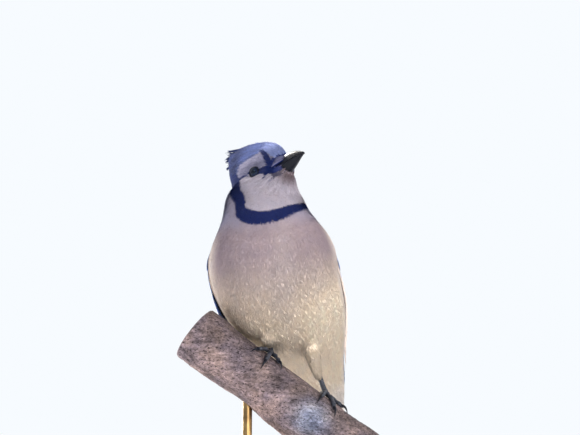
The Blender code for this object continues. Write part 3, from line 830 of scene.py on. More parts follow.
RICTAL = ((13.4, 11.4, -12.4, 0.5), (11.8, 12.8, -13.4, 0.6), (10.4, 13.6, -14.6, 0.3))
BRISTLE = ((13.0, 9.8, -5.8, 1.8), (16.5, 8.2, -5.6, 1.7), (20.5, 5.6, -5.4, 1.5))
GAPE = ((13.0, 10.4, -7.6, 1.4), (15.0, 9.6, -9.2, 2.3), (18.0, 7.2, -9.8, 2.0), (20.8, 5.0, -9.6, 1.2))
GAPE_TIP = ((14.8, 10.0, -9.8, 1.7), (14.4, 10.4, -11.6, 1.1), (14.0, 10.8, -13.2, 0.4))
STROKES = ((EYE_LINE, 0.96), (LORE, 0.97), (SPUR, 0.9), (V_REAR, 0.97), (V_FRONT, 0.94), (RICTAL, 0.5), (BRISTLE, 0.9))
# The black ring round the face: nape and side of the neck in the head's frame, collar in the bird's frame
BAND = ((-31.5, 0.0, 12.0, 3.5), (-28.5, 7.5, 9.0, 4.2), (-22.5, 13.2, 4.5, 5.2), (-17.4, 16.2, -0.3, 5.0), (-13.4, 21.0, -7.8, 4.5), (-9.6, 24.3, -13.8, 4.0), (-5.3, 26.6, -20.3, 3.9), (-3.8, 28.4, -25.6, 3.6))
COLLAR = ((-31.6, -34.6, 114.8, 4.2), (-26.0, -38.3, 110.8, 4.9), (-18.7, -40.0, 109.4, 4.9), (-11.6, -39.8, 110.5, 4.8), (-4.0, -37.6, 113.5, 4.2), (3.2, -32.0, 117.6, 3.3), (8.6, -24.5, 121.0, 2.6), (12.0, -16.5, 124.0, 2.4))


def stroke_line(rows):
    """A stroke's samples, laid on the skin."""
    line = line_through(np.array(rows), 40)
    on = on_skin(from_head(line[:, :3] * (1.0, -1.0, 1.0)))[0]
    line[:, :3] = to_head(on) * (1.0, -1.0, 1.0)
    return line


STROKES = [(stroke_line(rows), strength) for rows, strength in STROKES]
GAPE_LINES = [stroke_line(GAPE), stroke_line(GAPE_TIP)]


def ring_line():
    right = [(*from_head((x, -y, z)), w) for x, y, z, w in BAND]
    left = [(*from_head((x, y, z)), w * 0.9) for x, y, z, w in BAND]
    loop = right + [tuple(p) for p in COLLAR] + left[:0:-1]
    loop = line_through(np.array(loop + [right[0]]), 240)
    loop[:, :3] = on_skin(loop[:, :3])[0]
    return loop


RING = ring_line()


def near_line(points, line):
    """Distance to a line of samples less its half width there, and the index of the nearest sample."""
    out, index = np.empty(len(points)), np.empty(len(points), int)
    for at in range(0, len(points), 20000):
        p = points[at:at + 20000]
        d = np.linalg.norm(p[:, None, :].astype(np.float32) - line[None, :, :3].astype(np.float32), axis=-1)
        k = d.argmin(1)
        index[at:at + 20000] = k
        out[at:at + 20000] = d[np.arange(len(p)), k] - line[k, 3]
    return out, index


def inside_ring(points, normals, index):
    """1 on the face's side of the black ring, 0 on the body's."""
    tangent = unit(np.roll(RING[:, :3], -1, 0) - np.roll(RING[:, :3], 1, 0))[index]
    side = (np.cross(points - RING[index, :3], tangent) * normals).sum(-1)
    return side


PALE_FACE, BROW, CHIN = lin(180, 173, 185), lin(138, 136, 160), lin(90, 74, 78)
CROWN, CROWN_BACK, FORE = lin(80, 95, 150), lin(48, 61, 110), lin(146, 158, 206)
BLACK, NOSE, NECK_SIDE = lin(19, 35, 90), lin(106, 106, 138), lin(146, 145, 170)
BREAST, BREAST_SIDE, BREAST_TOP, PATCH = lin(166, 150, 156), lin(150, 134, 144), lin(170, 164, 184), lin(198, 184, 183)
BELLY, FLANK, VENT = lin(250, 231, 208), lin(246, 233, 226), lin(246, 238, 232)
MANTLE, RUMP, GAPE_GREY, DARK_CREST = lin(112, 124, 170), lin(92, 116, 180), lin(74, 72, 92), lin(32, 43, 86)
GRAIN = np.random.default_rng(5).uniform(-1.0, 1.0, (64, 64))


def grain(a, b):
    """Smooth random values from -1 to 1 over a plane, one lump per unit."""
    a, b = np.asarray(a, float), np.asarray(b, float)
    i, j = np.floor(a).astype(int), np.floor(b).astype(int)
    f, g = a - i, b - j
    f, g = f * f * (3.0 - 2.0 * f), g * g * (3.0 - 2.0 * g)
    at = lambda u, v: GRAIN[u % 64, v % 64]
    return (at(i, j) * (1 - f) + at(i + 1, j) * f) * (1 - g) + (at(i, j + 1) * (1 - f) + at(i + 1, j + 1) * f) * g


def streaks(p, t, phi, hw):
    """Fine light and dark lines that run with the lie of the feathers: out from the gape on the face, down the body."""
    h = to_head(p) - (17.0, 0.0, -4.0)
    turn = np.arctan2(h[:, 2], np.abs(h[:, 1]))
    far = np.linalg.norm(h, axis=1)
    face = 0.80 * grain(turn * 15.0 + 40.0, far / 6.5) + 0.55 * grain(turn * 31.0 + 7.0, far / 4.0)
    face = face * (1.0 + 0.5 * step(h[:, 2], 10.0, 18.0))
    body = 0.55 * grain(phi * 20.0, t * 2.3) + 0.35 * grain(phi * 42.0, t * 3.1) + 0.6 * grain(phi * 7.0 + 11.0, t * 1.2)
    return face * hw + body * (1.0 - hw)


def markings(p, n, t, phi, hw, soft=1.0):
    """Linear colour of the plumage at points p with normals n."""
    h = to_head(p)
    m = h * (1.0, 0.0, 1.0) + np.abs(h[:, 1:2]) * (0.0, 1.0, 0.0)
    ring, index = near_line(p, RING)
    face = step(inside_ring(p, n, index) * RING_SIGN, -0.6, 0.6) * step(p[:, 2], 97.0, 103.0)
    # body
    away = np.abs((np.degrees(phi) - 90.0 + 180.0) % 360.0 - 180.0)
    low = step(t, 4.9, 3.1)
    body = mix(BREAST, BREAST_SIDE, step(away, 25.0, 75.0) * 0.8)
    body = mix(body, BREAST_TOP, step(t, 5.2, 5.9))
    body = mix(body, BELLY, low)
    body = mix(body, FLANK, step(away, 58.0, 84.0) * step(t, 5.7, 4.9) * 0.8)
    across, along = (np.degrees(phi) - 86.0) / 10.0, t - 4.3
    body = mix(body, PATCH, 0.5 * np.exp(-((across + 0.6 * along) ** 2) - (along / 1.2) ** 2))
    body = mix(body, VENT, step(t, 1.3, 0.4))
    body = mix(body, NECK_SIDE, step(away, 56.0, 72.0) * step(t, 5.5, 6.0) * 0.9)
    back = step(away, 100.0, 116.0) * step(t, 6.3, 5.6) + step(away, 88.0, 112.0) * step(t, 5.6, 6.3)
    body = mix(body, mix(MANTLE, RUMP, step(t, 2.6, 1.4)), np.clip(back, 0.0, 1.0))
    # head
    line = np.interp(h[:, 0], (-30.0, -23.0, -16.2, -14.8, -13.4, -12.0, -7.8, -0.8, 4.3, 7.5, 9.8, 13.5, 15.5, 17.0, 19.0, 21.5), (-3.0, -2.5, -2.0, 4.5, 9.0, 11.0, 11.7, 11.5, 12.0, 11.6, 9.5, 4.6, 3.2, 4.0, 3.6, 1.0))
    top = step(h[:, 2] - line, -0.6 * soft, 0.6 * soft)
    head = mix(PALE_FACE, BROW, step(h[:, 2], -2.0, 1.5))
    chin = step(h[:, 0], 11.0, 18.5) * step(-h[:, 2], 8.0, 11.0) * step(-h[:, 2], 23.0, 15.0)
    head = mix(head, CHIN, chin * 0.9)
    crown = mix(CROWN, CROWN_BACK, step(-h[:, 0], 4.0, 20.0))
    crown = mix(crown, FORE, step(h[:, 0], 2.0, 11.0) * 0.8)
    crown = mix(crown, DARK_CREST, step(-h[:, 0], 11.0, 20.0) * step(h[:, 2], 31.0, 12.0) * 0.92)
    head = mix(head, crown, top)
    head = mix(head, NOSE, step(h[:, 0], 13.2, 14.6) * step(h[:, 2], -5.4, -4.2) * (1.0 - top))
    for samples in GAPE_LINES:
        far, _ = near_line(m, samples)
        head = mix(head, GAPE_GREY, step(-far, -0.5 * soft, 0.5 * soft) * 0.85)
    for samples, strength in STROKES:
        far, _ = near_line(m, samples)
        head = mix(head, BLACK, step(-far, -0.35 * soft, 0.35 * soft) * strength)
    colour = mix(body, head, face)
    return mix(colour, BLACK, step(-ring, -0.5 * soft, 0.5 * soft) * 0.98)


RING_SIGN = 1.0
CHEEK = from_head(np.array([[2.0, -18.0, -12.0]]))
CHEEK, CHEEK_N, _ = on_skin(CHEEK)
_, CHEEK_I = near_line(CHEEK, RING)
RING_SIGN = float(np.sign(inside_ring(CHEEK, CHEEK_N, CHEEK_I)[0]))


# ---------------------------------------------------------------- the skin's own unwrap
def unwrap(p, t, phi, hw, tw):
    """A place in the unit square for each point: body strip, head disc and two small thigh strips."""
    turn = (np.degrees(phi) - 90.0 + 180.0) % 360.0 / 360.0
    body = np.stack([0.02 + 0.56 * turn, 0.02 + 0.96 * np.clip(t, 0.0, 8.0) / 8.0], -1)
    h = to_head(p) - (-4.0, 0.0, 0.0)
    polar = np.arccos(np.clip(h[:, 0] / np.maximum(np.linalg.norm(h, axis=1), 1e-6), -1.0, 1.0)) / math.pi
    angle = np.arctan2(h[:, 2] + 4.0, h[:, 1])
    disc = np.stack([0.79 + 0.185 * polar * np.cos(angle), 0.76 + 0.185 * polar * np.sin(angle)], -1)
    leg = np.stack([0.63 + 0.30 * turn, 0.30 + (p[:, 2] - 55.0) * 0.0045], -1)
    out = np.where((hw > 0.5)[:, None], disc, body)
    return np.where((tw > 0.55)[:, None], leg, out)


def skin_piece():
    colours = markings(SKIN_V, SKIN_N, BT, BPHI, HW) * 0.72
    uv = unwrap(SKIN_V, BT, BPHI, HW, TLW + TRW)
    obj = build("skin", SKIN_V, SKIN_F, SKIN, colours=colours, maps={"OFBake": uv}, replaces=("head", "neck", "trunk", "leg_left", "leg_right"))
    # faces that would stretch across the map keep to their first corner's place
    layer = obj.data.uv_layers["OFBake"]
    flat = np.zeros(len(obj.data.loops) * 2, np.float32)
    layer.data.foreach_get("uv", flat)
    tri = flat.reshape(-1, 3, 2)
    wide = (np.ptp(tri, axis=1).max(-1) > 0.05)
    tri[wide] = tri[wide, :1] + np.array([[0.0, 0.0], [0.001, 0.0], [0.0, 0.001]], np.float32)
    layer.data.foreach_set("uv", tri.ravel())
    return obj


skin_piece()


# ---------------------------------------------------------------- tufts
def scatter(density, limit=None):
    """Roots spread over the skin; density is per square millimetre at each skin point. Gives face and corner weights."""
    a, b, c = (SKIN_V[SKIN_F[:, i]] for i in range(3))
    area = 0.5 * np.linalg.norm(np.cross(b - a, c - a), axis=1)
    want = area * density[SKIN_F].mean(1)
    over = 2.2
    pick = RNG.choice(len(SKIN_F), int(want.sum() * over), p=want / want.sum())
    r = RNG.random((len(pick), 2))
    r = np.where((r.sum(1) > 1.0)[:, None], 1.0 - r, r)
    w = np.stack([1.0 - r.sum(1), r[:, 0], r[:, 1]], -1)
    p = (SKIN_V[SKIN_F[pick]] * w[:, :, None]).sum(1)
    dens = (density[SKIN_F[pick]] * w).sum(1)
    gap = 0.68 / np.sqrt(np.maximum(dens, 1e-3))
    tree = KDTree(len(p))
    for i, q in enumerate(p.tolist()):
        tree.insert(q, i)
    tree.balance()
    alive = np.ones(len(p), bool)
    for i, q in enumerate(p.tolist()):
        if alive[i]:
            for _, j, _ in tree.find_range(q, gap[i]):
                if j > i:
                    alive[j] = False
    return pick[alive], w[alive]


def at_roots(values, pick, w):
    v = values[SKIN_F[pick]]
    return (v * (w[:, :, None] if v.ndim == 3 else w)).sum(1)


def follow(p, lie, length):
    """Places and normals on the skin a half and a whole length along the lie."""
    q1, n1, f1 = on_skin(p + lie * (length * 0.5)[:, None])
    lie1 = unit(LIE[SKIN_F[f1]].mean(1))
    lie1 = unit(lie1 * 0.7 + lie * 0.3)
    q2, n2, f2 = on_skin(q1 + lie1 * (length * 0.5)[:, None])
    smooth = lambda f: unit(SKIN_N[SKIN_F[f]].mean(1))
    return q1, smooth(f1), q2, smooth(f2)


STATIONS = np.array((0.0, 0.55))


def tufts(p, n, q1, n1, q2, n2, rise, fan, blade, blades, root, tip, uv, stations=STATIONS, spread_back=0.2, tip_rise=1.0, ragged=0.12, ridge=0.3, vary=0.05, gather=0.4):
    """Fans of thin tapering blades from root p over q1 to q2. Returns points, triangles, colours and map places.

    rise is the height of the tips over the skin, fan the half width of the fan, blade the half width of a blade; root and tip are colours;
    ridge is how high a blade's back is for its width, vary how much blades differ in light, gather how wide the fan starts.
    """
    count, k = len(p), len(stations)
    x = np.linspace(-1.0, 1.0, blades)[None, :] + RNG.normal(0.0, 0.18, (count, blades))
    reach = 1.0 - spread_back * x * x + RNG.uniform(-ragged, ragged, (count, blades))
    s = np.concatenate([stations, [1.0]])[None, None, :] * reach[:, :, None]          # count, blades, k + 1
    b0, b1, b2 = 2.0 * (s - 0.5) * (s - 1.0), -4.0 * s * (s - 1.0), 2.0 * s * (s - 0.5)
    centre = b0[..., None] * p[:, None, None] + b1[..., None] * q1[:, None, None] + b2[..., None] * q2[:, None, None]
    normal = unit(b0[..., None] * n[:, None, None] + b1[..., None] * n1[:, None, None] + b2[..., None] * n2[:, None, None])
    along = unit(np.diff(centre, axis=2))
    along = np.concatenate([along, along[:, :, -1:]], 2)
    side = unit(np.cross(normal, along))
    lift = -0.35 + (rise[:, None, None] * tip_rise + 0.35) * np.clip(s, 0.0, 1.2) ** 0.75
    lift = lift + RNG.uniform(-0.07, 0.07, (count, blades, 1)) * s
    spread = fan[:, None, None] * x[:, :, None] * (gather + (1.0 - gather) * np.clip(s * 1.5, 0.0, 1.0))
    centre = centre + normal * lift[..., None] + side * spread[..., None]
    wide = np.interp(stations, (0.0, 0.5, 0.85, 1.0), (0.55, 1.0, 0.62, 0.0))[None, None, :, None] * blade[:, None, None, None]
    c, sd, nm = centre[:, :, :k], side[:, :, :k], normal[:, :, :k]
    ring = np.stack([c - sd * wide, c + sd * wide, c + nm * wide * ridge], 3)             # count, blades, k, 3, xyz
    verts = np.concatenate([ring.reshape(count, blades, 3 * k, 3), centre[:, :, k:]], 2)
    per = 3 * k + 1
    tris = []
    for i in range(k - 1):
        a, b = 3 * i, 3 * i + 3
        for u, v in ((1, 2), (2, 0), (0, 1)):
            tris += [(a + u, a + v, b + v), (a + u, b + v, b + u)]
    a = 3 * (k - 1)
    tris += [(a + u, a + v, per - 1) for u, v in ((1, 2), (2, 0), (0, 1))]
    tris.append((0, 2, 1))
    tris = np.array(tris)[:, ::-1]
    start = (np.arange(count * blades) * per)[:, None, None]
    faces = (start + tris[None]).reshape(-1, 3)
    shade = np.interp(np.concatenate([np.repeat(stations, 3), [1.0]]), (0.0, 0.5, 1.0), (0.0, 0.6, 1.0))
    colours = root[:, None, None] * (1.0 - shade)[None, None, :, None] + tip[:, None, None] * shade[None, None, :, None]
    colours = colours * RNG.normal(1.0, vary, (count, blades, 1, 1))
    flat = np.stack([0.0012 * np.clip(x, -1.2, 1.2)[..., None] + 0 * shade, 0.0012 * (2.0 * shade - 1.0) + 0 * x[..., None]], -1)
    place_uv = uv[:, None, None] + flat
    return verts.reshape(-1, 3), faces, np.clip(colours, 0.0, 1.0).reshape(-1, 3), place_uv.reshape(-1, 2)


PIECES = []


def coat_piece(name, parts):
    """Joins batches of tufts into pieces of under 190,000 triangles."""
    groups, total = [[]], 0
    for part in parts:
        if total + len(part[1]) > 190000 and groups[-1]:
            groups.append([])
            total = 0
        groups[-1].append(part)
        total += len(part[1])
    for i, group in enumerate(groups):
        verts, faces, colours, uv, at = [], [], [], [], 0
        for v, f, c, u in group:
            verts.append(v); faces.append(f + at); colours.append(c); uv.append(u)
            at += len(v)
        label = name if len(groups) == 1 else "%s_%d" % (name, i + 1)
        PIECES.append(build(label, np.concatenate(verts), np.concatenate(faces), COAT, colours=np.concatenate(colours), maps={"OFBake": np.concatenate(uv)}))
        print("coat", label, sum(len(g[1]) for g in group))


def eye_distance(p):
    """Distance of points from the nearer eye's axis, on the outer side."""
    out = np.full(len(p), 99.0)
    for centre, aim in zip(EYES, EYE_AIM):
        d = p - centre
        along = d @ aim
        far = np.linalg.norm(d - along[:, None] * aim, axis=1)
        out = np.minimum(out, np.where(along > 0.0, far, 99.0))
    return out


def under_wing(p, t, phi):
    """1 deep under a folded wing, 0 in the open; the coat reaches a little way under the wing's edges."""
    out = np.zeros(len(p))
    u = np.interp(t, [r[0] for r in WING[::-1]], list(range(len(WING) - 1, -1, -1)))
    row = WING_AT(u)
    for side, sign in (("left", 1.0), ("right", -1.0)):
        a = np.degrees(phi) if sign > 0 else 180.0 - np.degrees(phi)
        a = (a + 180.0) % 360.0 - 180.0
        low = row[:, 2] + wing_low(side, u)
        inner = (a > row[:, 1] + 9.0) & (a < low - 9.0) & (t > 0.3) & (t < 5.9)
        out = np.maximum(out, inner.astype(float))
    return out


def coat():
    h = to_head(SKIN_V)
    from_bill = np.linalg.norm(h - (17.0, 0.0, -4.0), axis=1)
    thigh = TLW + TRW
    # density of tufts, per square millimetre
    face_dense = np.interp(from_bill, (6.0, 12.0, 24.0, 36.0), (4.2, 3.6, 2.7, 1.9))
    body_dense = np.interp(BT, (0.0, 2.0, 4.4, 5.4, 6.4), (1.05, 1.0, 1.15, 1.6, 2.1))
    away = np.abs((np.degrees(BPHI) - 90.0 + 180.0) % 360.0 - 180.0)
    body_dense = body_dense * np.where(away > 125.0, 0.6, 1.0)
    dense = face_dense * HW + body_dense * (1.0 - HW)
    dense = 0.89 * (dense * (1.0 - thigh) + 1.5 * thigh)
    edge = np.abs(near_line(SKIN_V, RING)[0])
    dense = dense * (1.0 + 0.8 * step(edge, 5.0, 2.5) * (1.0 - HW))
    dense = np.where(under_wing(SKIN_V, BT, BPHI) > 0.5, 1e-4, dense)
    # nothing grows where the skin is buried in the bill or lies under the eye
    dense = np.where((h[:, 0] > 14.5) & (HW > 0.5) & (np.abs(h[:, 1]) < BILL_ROWS(1.2)[1]) & (h[:, 2] < 2.0) & (h[:, 2] > -9.0), 1e-4, dense)
    pick, w = scatter(dense)
    p = at_roots(SKIN_V, pick, w)
    n = unit(at_roots(SKIN_N, pick, w))
    lie = at_roots(LIE, pick, w)
    lie = unit(lie - (lie * n).sum(-1)[:, None] * n)
    hw, tw, t = at_roots(HW, pick, w), at_roots(TLW + TRW, pick, w), at_roots(BT, pick, w)
    phi = np.arctan2(at_roots(np.sin(BPHI), pick, w), at_roots(np.cos(BPHI), pick, w)) % (2.0 * math.pi)
    far = at_roots(from_bill, pick, w)
    head_len = np.interp(far, (6.0, 12.0, 22.0, 34.0, 46.0), (2.6, 3.6, 5.0, 6.6, 7.4))
    body_len = np.interp(t, (0.0, 1.5, 4.4, 5.4, 6.5), (12.5, 12.0, 11.0, 8.2, 6.6))
    length = head_len * hw + body_len * (1.0 - hw)
    length = length * (1.0 - tw) + 5.5 * tw
    length = length * (1.0 - 0.38 * step(np.abs(near_line(p, RING)[0]), 7.0, 3.5) * (1.0 - 0.5 * hw))
    length = length * RNG.uniform(0.86, 1.14, len(p))
    swing = RNG.normal(0.0, math.radians(4.0), len(p))
    side = np.cross(n, lie)
    lie = lie * np.cos(swing)[:, None] + side * np.sin(swing)[:, None]
    keep = eye_distance(p) > 4.1
    for _ in range(7):
        end = p + lie * length[:, None]
        length = np.where((eye_distance(end) < 4.5) | (eye_distance(p + lie * length[:, None] * 0.6) < 4.3), length * 0.72, length)
    keep &= length > 1.0
    p, n, lie, hw, tw, t, phi, far, length, pick, w = (v[keep] for v in (p, n, lie, hw, tw, t, phi, far, length, pick, w))
    q1, n1, q2, n2 = follow(p, lie, length)
    # the colour is that of the place the tuft covers
    shown = q1 * 0.35 + q2 * 0.65
    colour = markings(shown, n2, np.clip(t - length / 22.0 * (1.0 - hw), 0.0, 8.0), phi, hw, 0.7)
    light = RNG.normal(1.0, 1.0, (len(p), 1)) - 1.0
    light = 1.0 + light * (0.016 + 0.054 * hw)[:, None] + (streaks(q1, t, phi, hw) * (0.055 + 0.155 * hw))[:, None]
    warm = RNG.normal(0.0, 0.009, (len(p), 1)) * (1.0, 0.2, -1.0)
    # tufts on the thighs are painted darker: a painted shade, as the fill lamp lights the thighs more than the shaded
    # belly round them
    light = light * (1.0 - 0.42 * np.clip(2.0 * tw, 0.0, 1.0))[:, None]
    colour = np.clip(colour * (light + warm), 0.004, 0.95)
    uv = unwrap(p, t, phi, hw, tw)
    rise = DEPTH * (1.0 + RNG.uniform(-0.18, 0.08, len(p)) * (0.12 + 0.88 * hw)) * np.interp(far, (5.0, 12.0, 22.0), (0.35, 0.75, 1.0)) * (1.0 - 0.2 * tw)
    fan = np.interp(length, (2.5, 5.0, 8.0, 12.0), (0.50, 0.75, 1.0, 1.35))
    blade = np.interp(length, (2.5, 5.0, 8.0, 12.0), (0.19, 0.26, 0.36, 0.52))
    group = np.where(hw > 0.5, np.where(to_head(p)[:, 2] > 5.0, 0, np.where(to_head(p)[:, 0] > -6.0, 1, 2)), np.where(tw > 0.5, 6, np.where(np.sin(phi) < -0.1, 3, np.where(t > 4.4, 4, 5))))
    names = ("coat_crown", "coat_face", "coat_cheek", "coat_back", "coat_breast", "coat_belly", "coat_thigh")
    blades = (4, 4, 4, 5, 4, 4, 4)
    dark = (0.62, 0.74, 0.76, 0.62, 0.91, 0.94, 0.9)
    for g, name in enumerate(names):
        parts = []
        for chunk in np.array_split(np.where(group == g)[0], max(1, int((group == g).sum() // 1200) + 1)):
            if len(chunk):
                i = chunk
                parts.append(tufts(p[i], n[i], q1[i], n1[i], q2[i], n2[i], rise[i], fan[i], blade[i], blades[g], colour[i] * dark[g], colour[i] * 1.04, uv[i], ridge=0.3 if g < 3 else 0.06, vary=0.055 if g < 3 else 0.012, gather=0.35 if g < 4 else 0.6))
        coat_piece(name, parts)


coat()


# ---------------------------------------------------------------- large feathers
def rounded(share, root=0.42, full=0.3, tip=0.78):
    """Outline of a feather: share of its half width along its length."""
    out = root + (1.0 - root) * np.clip(share / full, 0.0, 1.0) ** 0.8
    end = np.sqrt(np.clip(1.0 - (np.clip(share - tip, 0.0, None) / (1.0 - tip)) ** 2.2, 0.0, 1.0))
    return np.maximum(out * end, 0.03)


class Vanes:
    """Gathers arched feathers that lie on a surface, as closed thin solids, and makes one piece of them."""

    def __init__(self, surface):
        self.surface, self.parts, self.at, self.count = surface, [], 0, 0

    def add(self, u, v, lift, half, colour, bars=0.0, white=0.0, tip_dark=0.0, stations=14, columns=5, thick=0.3, camber=0.5, uneven=0.0, dull=0.35, outline=None, curl=0.0):
        """One feather: u, v and lift are (start, end) or longer rows on the surface, half its half width in mm."""
        k = np.linspace(0.0, 1.0, stations)
        row = lambda a: np.interp(k, np.linspace(0.0, 1.0, len(a)), a)
        uu, vv, ll = row(u), row(v), row(lift) + curl * k ** 3
        shape = (outline or rounded)(k)
        x = np.linspace(-1.0, 1.0, columns)
        # barbs part here and there, so the edge isn't drawn with a ruler
        nick = 1.0 + 0.05 * np.sin(k * (19.0 + 5.0 * RNG.random()) + RNG.random() * 6.0) + RNG.normal(0.0, 0.015, stations)
        offset = (x[None, :] + uneven) * (half * shape * nick)[:, None]
        arch = camber * (1.0 - x * x)[None, :] + 0 * offset
        top = self.surface(uu[:, None] + 0 * offset, vv[:, None], offset, ll[:, None] + arch)
        inner = offset[:, 1:-1]
        low = self.surface(uu[:, None] + 0 * inner, vv[:, None], inner, ll[:, None] + arch[:, 1:-1] - thick)
        mid = top[:, columns // 2]
        run = np.concatenate([[0.0], np.cumsum(np.linalg.norm(np.diff(mid, axis=0), axis=1))])
        length = run[-1]
        ring = np.concatenate([top, low[:, ::-1]], 1)
        per = ring.shape[1]
        i = np.arange(per)
        j = (i + 1) % per
        a = (np.arange(stations - 1) * per)[:, None]
        quads = np.stack([a + i, a + j, a + per + j, a + per + i], -1).reshape(-1, 4)
        fan = np.array([(0, q, q + 1) for q in range(1, per - 1)])
        caps = np.concatenate([fan[:, ::-1], fan + (stations - 1) * per])
        verts = ring.reshape(-1, 3)
        # outward faces
        f = quads[(stations // 2) * per + columns // 2]
        normal = np.cross(verts[f[1]] - verts[f[0]], verts[f[3]] - verts[f[0]])
        if normal @ (top[stations // 2, columns // 2] - low[stations // 2, columns // 2 - 1]) < 0:
            quads, caps = quads[:, ::-1], caps[:, ::-1]
        across = np.concatenate([x, x[1:-1][::-1]])
        under = np.concatenate([np.zeros(columns), np.ones(columns - 2)])
        base = np.broadcast_to(np.asarray(colour, float), (stations, per, 3)).copy()
        base *= RNG.normal(1.0, 0.03)
        base *= (1.0 - dull * np.clip(1.0 - k * 2.4, 0.0, 1.0))[:, None, None]
        if tip_dark:
            base *= (1.0 - tip_dark * step(k, 0.72, 1.0))[:, None, None]
        tip = step(run, length - white * 1.05 - 0.2, length - white * 0.85 + 0.2) if white else np.zeros(stations)
        marks = np.stack([
            np.broadcast_to(np.asarray(bars * step(run, 3.0, 7.0))[:, None] * (1.0 - tip[:, None]), (stations, per)),
            np.broadcast_to(tip[:, None], (stations, per)),
            np.broadcast_to(under[None, :], (stations, per)),
        ], -1)
        vane = np.stack([np.broadcast_to((across + 1.0) / 2.0, (stations, per)), np.broadcast_to((run / 100.0)[:, None], (stations, per))], -1)
        cell = np.stack([
            (self.count % 24 + 0.5 + 0.42 * np.concatenate([x, x[1:-1][::-1] * 0.5]))[None, :] / 24.0 + 0 * run[:, None],
            (self.count // 24 + 0.05 + 0.9 * k)[:, None] / 12.0 + 0 * across[None, :],
        ], -1)
        self.parts.append((verts, [quads, caps], base.reshape(-1, 3), marks.reshape(-1, 3), vane.reshape(-1, 2), cell.reshape(-1, 2)))
        self.count += 1

    def piece(self, name, replaces=()):
        verts, faces = joined([(p[0], p[1]) for p in self.parts])
        columns = [np.concatenate([p[i] for p in self.parts]) for i in (2, 3, 4, 5)]
        obj = build(name, verts, faces, VANE, colours=columns[0], marks=columns[1], maps={"OFBake": columns[3], "Vane": columns[2]}, replaces=replaces)
        print("vanes", name, self.count, sum(len(f) * (f.shape[1] - 2) for f in faces))
        return obj


# ---------------------------------------------------------------- wings
def wing_surface(side):
    sign = 1.0 if side == "left" else -1.0

    def at(u, v, offset, lift):
        """u runs from the shoulder, 0, to the wing's tip, 9; v from its back edge, 0, to its lower edge, 1; offset in mm goes towards the lower edge."""
        row = WING_AT(np.clip(u, 0.0, len(WING) - 1.0))
        t, back, low, thick = (row[..., i] for i in range(4))
        t = t - np.clip(u - (len(WING) - 1.0), 0.0, None) * 0.4
        low = low + wing_low(side, u)
        wide = np.maximum(BODY_AT(t)[..., 3], 14.0) * np.radians(low - back)
        share = v + offset / np.maximum(wide, 8.0)
        angle = np.radians(back + (low - back) * share)
        crown = thick * (0.35 + 0.65 * np.sin(math.pi * np.clip(share, 0.0, 1.0)) ** 0.6)
        if sign < 0:
            angle = math.pi - angle
        return body_point(t, angle, crown * 0.80 - 0.5 + lift)

    return at


WING_BLUE, COVERT_BLUE, SCAPULAR = lin(64, 102, 182), lin(88, 116, 182), lin(104, 120, 172)
PRIMARY, INNER_DARK = lin(44, 66, 118), lin(38, 44, 70)


